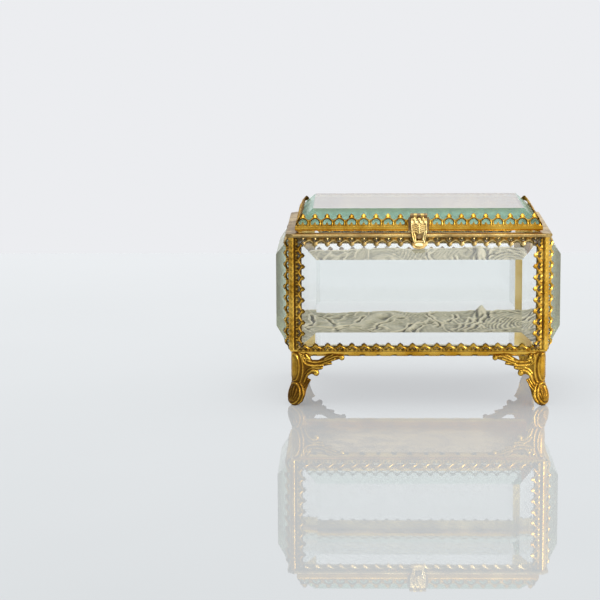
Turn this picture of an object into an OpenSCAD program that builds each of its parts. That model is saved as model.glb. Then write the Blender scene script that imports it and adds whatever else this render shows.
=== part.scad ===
// Glass casket box: a gilt brass frame on four stamped feet, with four thick bevelled glass
// walls, a bevelled glass lid on a back hinge, a small hinged hasp in front and a silk pad.
// Millimetres. X right, Y back, Z up. The origin is the middle of the rest plane.

/* [Case] */
// Width between the left and right corner posts, centre to centre
case_w = 114; // [104:1:130]
// Depth between the front and back corner posts, centre to centre
case_d = 78; // [70:1:92]
// Height of the glass walls' lower edge above the table
case_z = 25.6; // [25.6:0.2:30]
// Height of the glass walls
case_h = 50.6; // [46:0.2:60]

/* [Glass] */
// Thickness of a wall's glass at its edge
wall_edge = 1.4; // [1.3:0.05:1.5]
// How far a wall's flat field stands out from the wall's edge
wall_rise = 6.6; // [5:0.2:6.6]
// Width of a wall's bevel along its upright edges
bevel_w = 9; // [9:0.2:12]
// Width of a wall's bevel along its upper and lower edges
bevel_h = 9; // [9:0.2:11]

/* [Lid] */
// How far the lid stands in from the case's corner posts
lid_inset = 2; // [1.8:0.1:2.2]
// Thickness of the lid's glass at its edge
lid_edge = 2; // [1.8:0.1:2.2]
// Height of the lid glass's flat field above the glass's own edge
lid_rise = 6.6; // [4:0.2:7]
// Width of the lid glass's bevel
lid_bevel = 7; // [6:0.2:9]

/* [Gallery] */
// Distance from one arch of the pierced border to the next
arch_pitch = 5.3; // [4.6:0.1:6.4]
// Height of the walls' pierced border along its own slope
gallery_h = 5; // [4.4:0.1:5.4]
// Height of the lid's pierced border along its own slope
lid_gallery_h = 5.7; // [5:0.1:5.8]
// Thickness of the pierced border
gallery_t = 0.5; // [0.4:0.05:0.5]
// Lean of the walls' borders from upright
gallery_lean = 36; // [36:1:38]
// Lean of the lid's border from upright
lid_gallery_lean = 27; // [20:1:32]

/* [Feet] */
// Reach of a foot's side wings from the corner post
wing_reach = 24.4; // [20:0.2:28]
// Thickness of the foot's stamped sheet
foot_t = 0.8; // [0.6:0.05:0.9]
// How far the foot's sheet stands in from the line through the corner posts
foot_in = 0.5; // [0.3:0.1:0.8]

/* [Hinge and hasp] */
// Length of the lid hinge
hinge_w = 30; // [20:1:40]
// Radius of the lid hinge's pin
hinge_pin_r = 0.5; // [0.4:0.05:0.6]
// Width of the hasp at its knuckles
hasp_w = 7.4; // [6:0.2:9]
// Radius of the hasp's pin
hasp_pin_r = 0.4; // [0.3:0.05:0.45]

/* [Silk pad] */
// Height of the pad from its card to its crown
pad_h = 5; // [4:0.2:9]
// Extra height of the silk where it is drawn up along the back wall
pad_frill = 1.6; // [0:0.1:2.4]
// Number of gathers round the pad's edge
pad_gathers = 24; // [12:2:28]

/* [Hidden] */
brass = "#c9992f";
aged_brass = "#a98a4e";
crystal = "#a9cdbf";
silk = "#bfb99f";
card = "#8a8478";

// Running clearance of a moving knuckle, and of a pin in the knuckles that hold it
run_fit = 0.05;
held_fit = 0.01;
// Gap between pieces of glass and metal that are only laid together
seat = 0.05;

// A wall's faces, measured inwards and outwards from the line through the corner posts, and
// the flat margin beside its upright bevels
glass_in = 1;
glass_out = wall_edge - glass_in;
wall_margin = 1.4;
wall_top = case_z + case_h;
rim_top = wall_top + 1.8;

// Rails, measured outwards from the line through the corner posts
bar_h = 3;
bar_r = bar_h / 2;
bar_in = foot_in + foot_t + seat;
bar_base = case_z - 3.5;
shelf_in = -5;
flange_in = -3.4;
bead_r = 0.85;
bead_out = 1.5;
bead_z = rim_top - bead_r;
lip_t = 0.45;
lip_h = 3.5;
foot_lip_h = 1.6;
root_out = glass_out + seat;
lip_in = glass_in + seat;
wing_mitre_gap = 0.15;
rail_mitre_gap = 0.35;
lid_mitre_gap = 0.7;
rim_cut = 10.6;

// Corner post: reach of its spine over the glass on each side, its blunt nose and its sheet
spine_in = glass_in + 2 * seat + wall_margin;
spine_nose = 0.25;
spine_t = 0.5;

// Lid, with its underside at lid_z
lid_z = rim_top + 1;
lid_w = case_w - 2 * lid_inset;
lid_d = case_d - 2 * lid_inset;
lid_band_h = 2.2;
lid_band_t = 0.6;
lid_glass_z = lid_z + 0.55;
lid_rest_gap = 0.15;
lid_top = lid_glass_z + lid_edge + lid_rise;

// Lid hinge axis, on the ledge behind the lid
hinge_r = 1.2;
hinge_y = lid_d / 2 + 2.1;
hinge_z = rim_top + 1.7;
hinge_gap = 0.15;

// Hasp axis, in front of the lid's border
hasp_r = 0.9;
hasp_y = -lid_d / 2 - 1;
hasp_z = lid_z + 7;
hasp_t = 0.55;
hasp_gap = 0.1;
bracket_w = hasp_w + 1.8;
stud_r = 0.9;
stud_z = bead_z - 0.15;
stud_tip = -(case_d / 2 + 3.8);
slot_w = 2.6;
slot_h = 3.7;

// Inner corner angles
angle_leg = 6.5;
angle_t = 0.5;

// Bottom sheet, card and pad
sheet_t = 0.6;
card_t = 0.9;
sheet_w = case_w - 2 * glass_in - 1.2;
sheet_d = case_d - 2 * glass_in - 1.2;
card_z = case_z + sheet_t + seat;
pad_z = card_z + card_t + seat;
pad_w = sheet_w - 2;
pad_d = sheet_d - 2;

// A piece drawn for the front side, turned to side 0 front, 1 right, 2 back or 3 left
module on_side(side) {
    rotate([0, 0, 90 * side]) children();
}

// A piece drawn for the front left corner, mirrored to the corner with signs sx and sy
module on_corner(sx, sy) {
    mirror([sx > 0 ? 1 : 0, 0, 0])
        mirror([0, sy > 0 ? 1 : 0, 0])
            translate([-case_w / 2, -case_d / 2, 0]) children();
}

// A flat section, drawn outwards and upwards from the case line at distance d, run along X
module rail_run(len, d) {
    rotate([90, 0, 90])
        linear_extrude(len, center = true)
            translate([-d, 0]) mirror([1, 0]) children();
}

// The part of a frame side of length len and distance d that lies between its two mitres,
// with the outer corner cut off square to the mitre by a distance cut
module mitred(len, d, cut = 0) {
    out = 6;
    in = 9;
    a = len / 2;
    intersection() {
        children();
        linear_extrude(200)
            polygon([[-a - out + cut, -d - out], [a + out - cut, -d - out],
                [a + out - cut / 2, -d - out + cut / 2], [a - in, -d + in],
                [-a + in, -d + in], [-a - out + cut / 2, -d - out + cut / 2]]);
    }
}

// Pierced border: a row of round arches with leaf tips, its root on the X axis and its strip
// reaching below it. Tip and hole are one arch's outlines, in parts of its pitch and height.
module gallery(len, mitre, h = gallery_h, root = 0.35) {
    n = max(3, round(len / arch_pitch));
    p = len / n;
    notch = 0.47;
    tip = [[-0.5, notch], [-0.34, 0.52], [-0.14, 0.62], [-0.21, 0.79], [0, 1], [0.21, 0.79],
        [0.14, 0.62], [0.34, 0.52]];
    hole = [[-0.2, 0.06], [-0.32, 0.18], [-0.25, 0.37], [0, 0.48], [0.25, 0.37], [0.32, 0.18],
        [0.2, 0.06], [0, 0.2]];
    edge = [for (i = [0:n - 1], q = tip) [(i - (n - 1) / 2 + q[0]) * p, q[1] * h]];
    a = len / 2;
    b = len / 2 - mitre * h;
    difference() {
        intersection() {
            polygon(concat([[-a, -root]], edge, [[a, notch * h], [a, -root]]));
            polygon([[-a, -root], [a, -root], [a, 0], [b, h], [-b, h], [-a, 0]]);
        }
        for (i = [0:n - 1])
            polygon([for (q = hole) [(i - (n - 1) / 2 + q[0]) * p, q[1] * h]]);
    }
}

// A bevelled plate standing on edge in front: the glass narrows outwards from its edge
module bevelled_wall(w, d) {
    inner = -(d - glass_in);
    edge = -(d + glass_out);
    field = edge - wall_rise;
    z0 = case_z;
    z1 = wall_top;
    intersection() {
        linear_extrude(200)
            polygon([[-w / 2, inner], [-w / 2, edge], [-w / 2 + wall_margin, edge],
                [-w / 2 + wall_margin + bevel_w, field], [w / 2 - wall_margin - bevel_w, field],
                [w / 2 - wall_margin, edge], [w / 2, edge], [w / 2, inner]]);
        rotate([90, 0, 90]) linear_extrude(w + 2, center = true)
            polygon([[inner, z0], [edge, z0], [field, z0 + bevel_h],
                [field, z1 - bevel_h], [edge, z1], [inner, z1]]);
    }
}

module wall_glass(side) {
    along = side % 2 == 0 ? case_w : case_d;
    d = side % 2 == 0 ? case_d / 2 : case_w / 2;
    color(crystal, 0.45)
        on_side(side) bevelled_wall(along - 2 * glass_in - 2 * seat * 2, d);
}

module post(sx, sy) {
    h = case_h + 0.1;
    face = root_out + spine_t;
    half = [[glass_in, -glass_out], [glass_in, -root_out], [spine_in, -root_out],
        [spine_in, -face], [0.2, -face], [-spine_nose, -root_out]];
    color(brass) on_corner(sx, sy) {
        translate([0, 0, case_z])
            linear_extrude(h)
                polygon(concat(half, [for (i = [len(half) - 1:-1:0]) [half[i][1], half[i][0]]]));
        post_wing(h);
        mirror([1, -1, 0]) post_wing(h);
    }
}

// One upright border of a post, leaning out over the neighbouring wall's bevel
module post_wing(h) {
    translate([spine_in - seat, -root_out, case_z + h / 2])
        rotate([0, 0, -90 - gallery_lean])
            rotate([0, -90, 0])
                translate([0, 0, -gallery_t])
                    linear_extrude(gallery_t)
                        gallery(h - 2 * wing_mitre_gap, cos(gallery_lean), root = seat);
}

module inner_angle(sx, sy) {
    a = glass_in + seat;
    z0 = case_z + foot_lip_h + seat;
    z1 = wall_top - lip_h - seat;
    color(brass) on_corner(sx, sy)
        translate([0, 0, z0])
            linear_extrude(z1 - z0)
                polygon([[a, a], [a + angle_leg, a], [a + angle_leg, a + angle_t],
                    [a + angle_t, a + angle_t], [a + angle_t, a + angle_leg], [a, a + angle_leg]]);
}

module top_rail(side) {
    along = side % 2 == 0 ? case_w : case_d;
    d = side % 2 == 0 ? case_d / 2 : case_w / 2;
    color(aged_brass) on_side(side) {
        mitred(along, d, rim_cut)
            rail_run(along + 8, d) {
                translate([flange_in, rim_top - 0.6]) square([bead_out - flange_in, 0.6]);
                translate([-lip_in - lip_t, wall_top + 0.1])
                    square([bead_out + lip_in + lip_t, rim_top - wall_top - 0.1]);
                translate([-lip_in - lip_t, wall_top - lip_h]) square([lip_t, lip_h + 1]);
                translate([bead_out, bead_z]) circle(bead_r, $fn = 32);
            }
        translate([0, -d - root_out, wall_top + 0.3])
            rotate([gallery_lean - 90 - 2 * gallery_lean, 0, 0])
                translate([0, 0, -gallery_t])
                    linear_extrude(gallery_t)
                        gallery(along - 2 * (spine_in + rail_mitre_gap), cos(gallery_lean));
    }
}

module bottom_rail(side) {
    along = side % 2 == 0 ? case_w : case_d;
    d = side % 2 == 0 ? case_d / 2 : case_w / 2;
    color(brass) on_side(side) {
        mitred(along, d)
            rail_run(along + 8, d) {
                translate([shelf_in, case_z - 0.8])
                    square([root_out - shelf_in, 0.8 - seat]);
                translate([-lip_in - lip_t, case_z - 0.8]) square([lip_t, 0.8 + foot_lip_h]);
                translate([-bar_in - bar_r, bar_base + bar_r]) circle(bar_r, $fn = 32);
                translate([-bar_in - bar_r, bar_base + bar_r]) square([bar_r, bar_h - bar_r]);
            }
        translate([0, -d - root_out, case_z - 0.3])
            rotate([90 + gallery_lean, 0, 0])
                linear_extrude(gallery_t)
                    gallery(along - 2 * (spine_in + rail_mitre_gap), cos(gallery_lean));
    }
}

// Outline of a foot's side wing: x inwards from the corner post, y up from the table. The
// scallops of its lower edge step up from the leg to the curl at its end.
module wing_outline() {
    k = wing_reach / 24.4;
    edge = foot_in + 0.9;
    curl_r = 1.25;
    difference() {
        union() {
            polygon([[edge, 24], [edge, 9.4], [2.6, 6.8], [5, 6.4], [6.2 * k, 8.6],
                [8.6 * k, 11.4], [7.8 * k, 12.8], [9.2 * k, 14], [12.3 * k, 16], [14 * k, 16.4],
                [14.9 * k, 17.7], [18.4 * k, 19], [18.2 * k, 20.2], [20.4 * k, 20.8],
                [23 * k, 21.2], [23.2 * k, 23], [17 * k, 23.6], [15 * k, 22.4], [9 * k, 22.4],
                [7.2 * k, 23.6], [4, 24.3]]);
            translate([11.1 * k, 14.8]) circle(curl_r, $fn = 24);
            translate([wing_reach - curl_r, 22]) circle(curl_r, $fn = 24);
        }
        polygon([[8.8 * k, 21.1], [9.4 * k, 21.7], [11.9 * k, 21.8], [12.9 * k, 21.4],
            [12 * k, 20.9], [9.6 * k, 20.8]]);
    }
}

// A foot: a shin under the corner that swells into a broad hoof, and two side wings
module foot(sx, sy) {
    // Steps down the leg: shift inwards on each axis, height, half width across, half depth
    steps = [[3.4, bar_base - 0.25, 2.9, 2.9], [3.4, 14, 2.9, 2.8], [3.2, 10.4, 2.8, 2.3],
        [2.1, 5.2, 4.1, 2.9], [2, 2, 3.7, 2.7], [2, 0, 2.4, 1.8]];
    color(brass) on_corner(sx, sy) {
        for (i = [0:len(steps) - 2])
            hull()
                for (s = [steps[i], steps[i + 1]])
                    translate([s[0], s[0], s[1]]) rotate([0, 0, -45]) scale([s[2], s[3], 1])
                        cylinder(0.2, r = 1, $fn = 24);
        foot_wing();
        mirror([1, -1, 0]) foot_wing();
    }
}

module foot_wing() {
    translate([0, foot_in + foot_t, 0])
        rotate([90, 0, 0]) linear_extrude(foot_t) wing_outline();
}

module bottom_sheet() {
    color(brass) translate([-sheet_w / 2, -sheet_d / 2, case_z])
        cube([sheet_w, sheet_d, sheet_t]);
}

module pad_card() {
    color(card) translate([-pad_w / 2, -pad_d / 2, card_z]) cube([pad_w, pad_d, card_t]);
}

// Silk pad: rings of a rounded rectangle, low at the front, gathered round its shoulder,
// puffed in the middle and drawn up into a frill along the back wall
pad_ring_points = 96;
pad_levels = [[0.97, 0, 0], [0.99, 0.14, 0.3], [1, 0.3, 0.8], [0.985, 0.46, 1], [0.95, 0.6, 1],
    [0.9, 0.72, 0.8], [0.8, 0.84, 0.5], [0.64, 0.93, 0.25], [0.42, 0.98, 0.1], [0.2, 1, 0]];

function pad_point(i, level) =
    let (
        t = 360 * i / pad_ring_points,
        c = cos(t),
        s = sin(t),
        corner = 0.32,
        px = sign(c) * pow(abs(c), corner),
        py = sign(s) * pow(abs(s), corner),
        fold = level[2] * 0.45 * (cos(pad_gathers * t) - 1),
        wave = level[2] * 0.3 * cos(pad_gathers * t / 2),
        frill = pad_frill * level[1] * pow(max(0, level[0] * py), 4)
    )
    [level[0] * (pad_w / 2 + fold) * px, level[0] * (pad_d / 2 + fold) * py,
        pad_z + pad_h * level[1] + wave + frill];

module silk_pad() {
    m = pad_ring_points;
    k = len(pad_levels);
    rings = [for (level = pad_levels, i = [0:m - 1]) pad_point(i, level)];
    points = concat(rings, [[0, 0, pad_z], [0, 0, pad_z + pad_h]]);
    sides = [for (r = [0:k - 2], i = [0:m - 1], half = [0, 1])
        let (j = (i + 1) % m)
        half == 0 ? [r * m + i, (r + 1) * m + j, r * m + j]
            : [r * m + i, (r + 1) * m + i, (r + 1) * m + j]];
    under = [for (i = [0:m - 1]) [m * k, i, (i + 1) % m]];
    crown = [for (i = [0:m - 1]) [m * k + 1, (k - 1) * m + (i + 1) % m, (k - 1) * m + i]];
    color(silk) polyhedron(points, concat(sides, under, crown));
}

// Round stud on a small saddle that is soldered over the front bead
module catch_stud() {
    y = -(case_d / 2 + bead_out);
    color(brass) {
        difference() {
            translate([-2.2, y - bead_r - 0.5, bead_z - 0.8]) cube([4.4, 1, 1.6]);
            translate([0, y, bead_z]) rotate([0, 90, 0])
                cylinder(10, r = bead_r + held_fit, center = true, $fn = 32);
        }
        translate([0, y - bead_r - 0.2, stud_z]) rotate([90, 0, 0])
            cylinder(-stud_tip + y - bead_r - 0.2, r = stud_r, $fn = 32);
    }
}

module hinge_case_leaf() {
    third = hinge_w / 3;
    bore = hinge_pin_r + held_fit;
    color(brass) difference() {
        union() {
            translate([-hinge_w / 2, hinge_y - 1.5, rim_top])
                cube([hinge_w, 2.8, 0.3]);
            for (x = [-hinge_w / 2, third / 2])
                translate([x, hinge_y, 0]) {
                    translate([0, -0.7, rim_top + 0.2]) cube([third, 1.4, hinge_z - rim_top - 0.2]);
                    translate([0, 0, hinge_z]) rotate([0, 90, 0])
                        cylinder(third, r = hinge_r, $fn = 32);
                }
        }
        translate([0, hinge_y, hinge_z]) rotate([0, 90, 0])
            cylinder(hinge_w + 2, r = bore, center = true, $fn = 32);
    }
}

module hinge_lid_leaf() {
    third = hinge_w / 3;
    leaf_y = lid_d / 2;
    bore = hinge_pin_r + run_fit;
    w = third - 2 * hinge_gap;
    color(brass) difference() {
        union() {
            translate([-hinge_w / 2, leaf_y, lid_z + 0.1]) cube([hinge_w, 0.4, lid_band_h]);
            translate([-w / 2, leaf_y, hinge_z - 0.3]) cube([w, hinge_y - leaf_y, 1.4]);
            translate([0, hinge_y, hinge_z]) rotate([0, 90, 0])
                cylinder(w, r = hinge_r, center = true, $fn = 32);
        }
        translate([0, hinge_y, hinge_z]) rotate([0, 90, 0])
            cylinder(hinge_w, r = bore, center = true, $fn = 32);
    }
}

module hinge_pin() {
    color(aged_brass) translate([0, hinge_y, hinge_z]) rotate([0, 90, 0])
        cylinder(hinge_w + 0.6, r = hinge_pin_r, center = true, $fn = 32);
}

module lid_glass() {
    w = lid_w / 2 - lid_band_t - 4 * seat;
    d = lid_d / 2 - lid_band_t - 4 * seat;
    z0 = lid_glass_z;
    z1 = lid_glass_z + lid_edge;
    color(crystal, 0.45) intersection() {
        rotate([90, 0, 0]) linear_extrude(lid_d, center = true)
            polygon([[-w, z0], [w, z0], [w, z1], [w - lid_bevel, lid_top],
                [-w + lid_bevel, lid_top], [-w, z1]]);
        rotate([90, 0, 90]) linear_extrude(lid_w, center = true)
            polygon([[-d, z0], [d, z0], [d, z1], [d - lid_bevel, lid_top],
                [-d + lid_bevel, lid_top], [-d, z1]]);
    }
}

module lid_rail(side) {
    along = side % 2 == 0 ? lid_w : lid_d;
    d = side % 2 == 0 ? lid_d / 2 : lid_w / 2;
    color(brass) on_side(side) {
        mitred(along, d)
            rail_run(along + 8, d) {
                translate([-lid_band_t, lid_z]) square([lid_band_t, lid_band_h]);
                translate([-3, lid_z]) square([3, 0.5]);
                if (side != 0) translate([-3, rim_top + lid_rest_gap])
                    square([2, lid_z - rim_top - lid_rest_gap + 0.1]);
            }
        translate([0, -d + lid_band_t, lid_z + lid_band_h])
            rotate([90 - lid_gallery_lean, 0, 0])
                linear_extrude(gallery_t)
                    gallery(along - 2 * lid_mitre_gap, sin(lid_gallery_lean), lid_gallery_h);
    }
}

module hasp_bracket() {
    w = (hasp_w - 4 * hasp_gap) / 5;
    plate_y = -lid_d / 2 - gallery_t - 0.1;
    color(aged_brass) difference() {
        union() {
            translate([-bracket_w / 2, plate_y, lid_z + 0.3])
                cube([bracket_w, 0.55, hasp_z - lid_z - 1.2]);
            for (i = [-2, 0, 2])
                translate([i * (w + hasp_gap) - w / 2, 0, 0]) {
                    translate([0, plate_y, hasp_z - 1.6]) cube([w, 0.55, 1.6]);
                    translate([0, hasp_y, hasp_z]) rotate([0, 90, 0])
                        cylinder(w, r = hasp_r, $fn = 32);
                }
        }
        translate([0, hasp_y, hasp_z]) rotate([0, 90, 0])
            cylinder(hasp_w + 2, r = hasp_pin_r + held_fit, center = true, $fn = 32);
    }
}

// Side view of the hasp, as its middle line: out over the rim, down past the stud, then
// flared into the finger tab
module hasp_section() {
    y = -hasp_y;
    path = [[y + 0.5, hasp_z - 0.2], [y + 1.3, hasp_z - 2.2], [y + 4.4, lid_z + 0.2],
        [y + 4.75, lid_z - 3.2], [y + 5.4, lid_z - 4.8], [y + 6.9, lid_z - 7]];
    for (i = [0:len(path) - 2])
        hull()
            for (p = [path[i], path[i + 1]])
                translate([-p[0], p[1]]) circle(hasp_t / 2, $fn = 16);
}

// Right edge of the hasp seen from the front, from its knuckles down to the finger tab
hasp_edge = [[hasp_w / 2, hasp_z - 1.1], [hasp_w / 2, lid_z + 1], [3.2, lid_z - 2.4],
    [2.7, lid_z - 4], [2.9, lid_z - 5.4], [2.6, lid_z - 6.3], [1.9, lid_z - 8]];

module hasp_strap() {
    w = (hasp_w - 4 * hasp_gap) / 5;
    color(brass) difference() {
        union() {
            intersection() {
                rotate([90, 0, 90]) linear_extrude(hasp_w, center = true) hasp_section();
                rotate([90, 0, 0]) linear_extrude(80)
                    polygon(concat(hasp_edge, [for (i = [len(hasp_edge) - 1:-1:0])
                        [-hasp_edge[i][0], hasp_edge[i][1]]]));
            }
            for (i = [-1, 1])
                translate([i * (w + hasp_gap) - w / 2, 0, 0]) {
                    translate([0, hasp_y, hasp_z]) rotate([0, 90, 0])
                        cylinder(w, r = hasp_r, $fn = 32);
                    translate([0, hasp_y - hasp_r, hasp_z - 1.3]) cube([w, 0.6, 1.3]);
                }
        }
        translate([0, hasp_y, hasp_z]) rotate([0, 90, 0])
            cylinder(hasp_w + 2, r = hasp_pin_r + run_fit, center = true, $fn = 32);
        translate([-slot_w / 2, -60, stud_z - 2.4]) cube([slot_w, 30, slot_h]);
    }
}

module hasp_pin() {
    color(aged_brass) translate([0, hasp_y, hasp_z]) rotate([0, 90, 0])
        cylinder(hasp_w + 0.4, r = hasp_pin_r, center = true, $fn = 32);
}

wall_glass(0);  // front_glass
wall_glass(1);  // right_glass
wall_glass(2);  // back_glass
wall_glass(3);  // left_glass
post(-1, -1);  // front_left_post
post(1, -1);  // front_right_post
post(-1, 1);  // back_left_post
post(1, 1);  // back_right_post
inner_angle(-1, -1);  // front_left_inner_angle
inner_angle(1, -1);  // front_right_inner_angle
inner_angle(-1, 1);  // back_left_inner_angle
inner_angle(1, 1);  // back_right_inner_angle
top_rail(0);  // front_top_rail
top_rail(1);  // right_top_rail
top_rail(2);  // back_top_rail
top_rail(3);  // left_top_rail
bottom_rail(0);  // front_bottom_rail
bottom_rail(1);  // right_bottom_rail
bottom_rail(2);  // back_bottom_rail
bottom_rail(3);  // left_bottom_rail
foot(-1, -1);  // front_left_foot
foot(1, -1);  // front_right_foot
foot(-1, 1);  // back_left_foot
foot(1, 1);  // back_right_foot
bottom_sheet();
pad_card();
silk_pad();
catch_stud();
hinge_case_leaf();
hinge_lid_leaf();
hinge_pin();
lid_glass();
lid_rail(0);  // front_lid_rail
lid_rail(1);  // right_lid_rail
lid_rail(2);  // back_lid_rail
lid_rail(3);  // left_lid_rail
hasp_bracket();
hasp_strap();
hasp_pin();
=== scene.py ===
# %% [markdown]
# # A casket box of bevelled glass in a gilt brass frame
# Such a box is soldered up from stamped brass strip. Thick glass plates stand in four corner
# posts, pierced borders are folded out over their bevels, and four stamped feet carry the
# frame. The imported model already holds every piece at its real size. This file gives the
# pieces their surfaces: each one is built in millimetres around the model, then scaled once.

# %% Load the fixed frame
import math

import bmesh
import bpy
import numpy as np
from mathutils import Matrix, Vector, geometry


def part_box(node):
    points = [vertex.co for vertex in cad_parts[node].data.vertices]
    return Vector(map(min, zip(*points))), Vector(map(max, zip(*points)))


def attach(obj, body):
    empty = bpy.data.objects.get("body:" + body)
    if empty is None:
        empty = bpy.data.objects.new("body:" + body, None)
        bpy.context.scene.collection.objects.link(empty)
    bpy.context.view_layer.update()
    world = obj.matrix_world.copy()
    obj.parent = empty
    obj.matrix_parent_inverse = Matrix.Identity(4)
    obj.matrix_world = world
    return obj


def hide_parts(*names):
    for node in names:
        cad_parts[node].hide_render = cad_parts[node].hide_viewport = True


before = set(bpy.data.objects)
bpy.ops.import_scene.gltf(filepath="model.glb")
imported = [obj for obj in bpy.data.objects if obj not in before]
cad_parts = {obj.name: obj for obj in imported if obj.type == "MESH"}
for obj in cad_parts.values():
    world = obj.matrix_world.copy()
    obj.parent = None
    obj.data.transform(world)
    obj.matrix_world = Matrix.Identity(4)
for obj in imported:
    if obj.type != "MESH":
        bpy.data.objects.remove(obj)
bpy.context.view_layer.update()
MM = 0.001


def node_box(name):
    """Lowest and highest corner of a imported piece, in millimetres."""
    low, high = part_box(name)
    return np.array(low) / MM, np.array(high) / MM


# %% [markdown]
# ## Driving sizes
# Everything hangs on the line through the corner posts. The plates' inner faces stand a
# millimetre inside that line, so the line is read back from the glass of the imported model, and
# the rails, borders and feet below are measured outwards from it.

# %% Read the driving sizes from the frame
GLASS_IN = 1.0
GLASS_OUT = 0.4
PLAY = 0.05
LID_SEAT = 0.55
front_low, front_high = node_box("front_glass")
HALF_W = node_box("right_glass")[0][0] + GLASS_IN
HALF_D = -front_high[1] + GLASS_IN
WALL_LOW = front_low[2]
WALL_HIGH = front_high[2]
RIM_TOP = node_box("front_top_rail")[1][2]
LID_LOW = node_box("lid_glass")[0][2] - LID_SEAT
LID_HALF_W = -node_box("left_lid_rail")[0][0]
LID_HALF_D = -node_box("front_lid_rail")[0][1]
ROOT_OUT = GLASS_OUT + PLAY
LIP_IN = GLASS_IN + PLAY
ARCH_PITCH = 5.3
SHEET_T = 0.5
WALL_LEAN = math.radians(36)
LID_LEAN = math.radians(27)
LID_BAND_T = 0.6
LID_BAND_H = 2.2
print("post line, mm:", round(HALF_W, 2), "by", round(HALF_D, 2), "walls", WALL_LOW, WALL_HIGH)

# %% [markdown]
# ## Camera
# The photograph is taken from a little above the lid, slightly left of the middle and from
# about a metre away, with a long lens. The camera stands where the corners of the glass
# fields, the lid and the feet fall on their places in the picture.

# %% Camera at the photograph's viewing angle
CAMERA_AT = (-0.0244, -1.0413, 0.2117)
CAMERA_AIM = (-0.0281, 0.9865, -0.1610)
CAMERA_ROLL = -0.0055
CAMERA_LENS = 136.4


def in_scene(name, data):
    """A new object in the scene."""
    thing = bpy.data.objects.new(name, data)
    bpy.context.scene.collection.objects.link(thing)
    return thing


camera = in_scene("camera", bpy.data.cameras.new("camera"))
camera.data.sensor_width = 36
camera.data.lens = CAMERA_LENS
camera.data.clip_start = 0.05
camera.data.clip_end = 20
upright = Vector(CAMERA_AIM).to_track_quat("-Z", "Y").to_matrix()
camera.matrix_world = Matrix.Translation(CAMERA_AT) @ (
    upright @ Matrix.Rotation(CAMERA_ROLL, 3, "Z")
).to_4x4()
bpy.context.scene.camera = camera
print("camera lens", CAMERA_LENS, "mm")

# %% [markdown]
# ## Node helpers
# Every finish below is a small node tree. A few helpers keep the trees short: one fills the
# sockets of a node with values or links, one adds a node, one starts a material with its
# shader and output, and the others stand for the nodes that come up most often.


# %% Helpers for node trees
def fill(tree, node, inputs):
    """Link or set a node's sockets, given by name or number."""
    for key, value in inputs.items():
        if isinstance(value, bpy.types.NodeSocket):
            tree.links.new(value, node.inputs[key])
        else:
            node.inputs[key].default_value = value


def add_node(tree, kind, inputs=None, **settings):
    """One node of a kind, with its settings and its sockets."""
    node = tree.nodes.new(kind)
    for key, value in settings.items():
        setattr(node, key, value)
    fill(tree, node, inputs or {})
    return node


def new_material(name):
    """A material with an empty tree, its Principled shader and its output."""
    material = bpy.data.materials.new(name)
    material.use_nodes = True
    tree = material.node_tree
    tree.nodes.clear()
    shader = add_node(tree, "ShaderNodeBsdfPrincipled")
    output = add_node(tree, "ShaderNodeOutputMaterial", {"Surface": shader.outputs[0]})
    return material, tree, shader, output


def ramp(tree, factor, stops):
    """A colour ramp with (place, colour) stops."""
    node = add_node(tree, "ShaderNodeValToRGB", {"Fac": factor})
    elements = node.color_ramp.elements
    while len(elements) < len(stops):
        elements.new(0.5)
    for element, (place, colour) in zip(elements, stops):
        element.position = place
        element.color = (*colour, 1)
    return node.outputs["Color"]


def mapped(tree, value, low, high, to_low, to_high):
    """A value taken from one range to another, held inside it."""
    node = add_node(tree, "ShaderNodeMapRange", {
        "Value": value, "From Min": low, "From Max": high, "To Min": to_low, "To Max": to_high})
    return node.outputs["Result"]


def colour_mix(tree, factor, first, second):
    """Two colours or sockets, mixed by a factor."""
    node = add_node(tree, "ShaderNodeMix", {"Factor": factor, "A": first, "B": second}, data_type="RGBA")
    return node.outputs["Result"]


def noise(tree, where, scale, detail):
    """The level of a noise texture."""
    node = add_node(tree, "ShaderNodeTexNoise", {"Vector": where, "Scale": scale, "Detail": detail})
    return node.outputs["Fac"]


def maths(tree, operation, first, second=0.5):
    """One Math node on two values or sockets."""
    return add_node(tree, "ShaderNodeMath", {0: first, 1: second}, operation=operation).outputs[0]


# %% [markdown]
# ## Gilt brass
# The frame is stamped brass with a thin worn gilding. Three things make it read as old gilt
# metal: the colour wanders between pale lemon and deep orange, brown tarnish sits in the
# hollows that no cloth reaches, and the polish changes with it. More brown is also painted in
# towards the left-hand end. That is painted shade, because that side is turned away from the
# main light. The hollows are known when a border is modelled, so each ornament carries them in
# an attribute named relief, 0 in a hollow and 1 on a crest. That is cheaper and steadier than
# looking for cavities in the shader.


# %% Gilt and aged metals
CLOUD_SCALE, SPECK_SCALE, GRAIN_SCALE = 120, 900, 2600
CLOUD_SHARE, SPECK_SHARE, CREST_SHARE = 0.50, 0.30, 0.55
NO_RELIEF = 0.33
# Painted shade: how far, and how strongly, the brown grows towards the left-hand end.
LEFT_SHADE_REACH = 0.06
LEFT_SHADE_SHIFT = 0.09
DULL_START = 0.25
GRAIN_DEPTH = 0.00012


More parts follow.
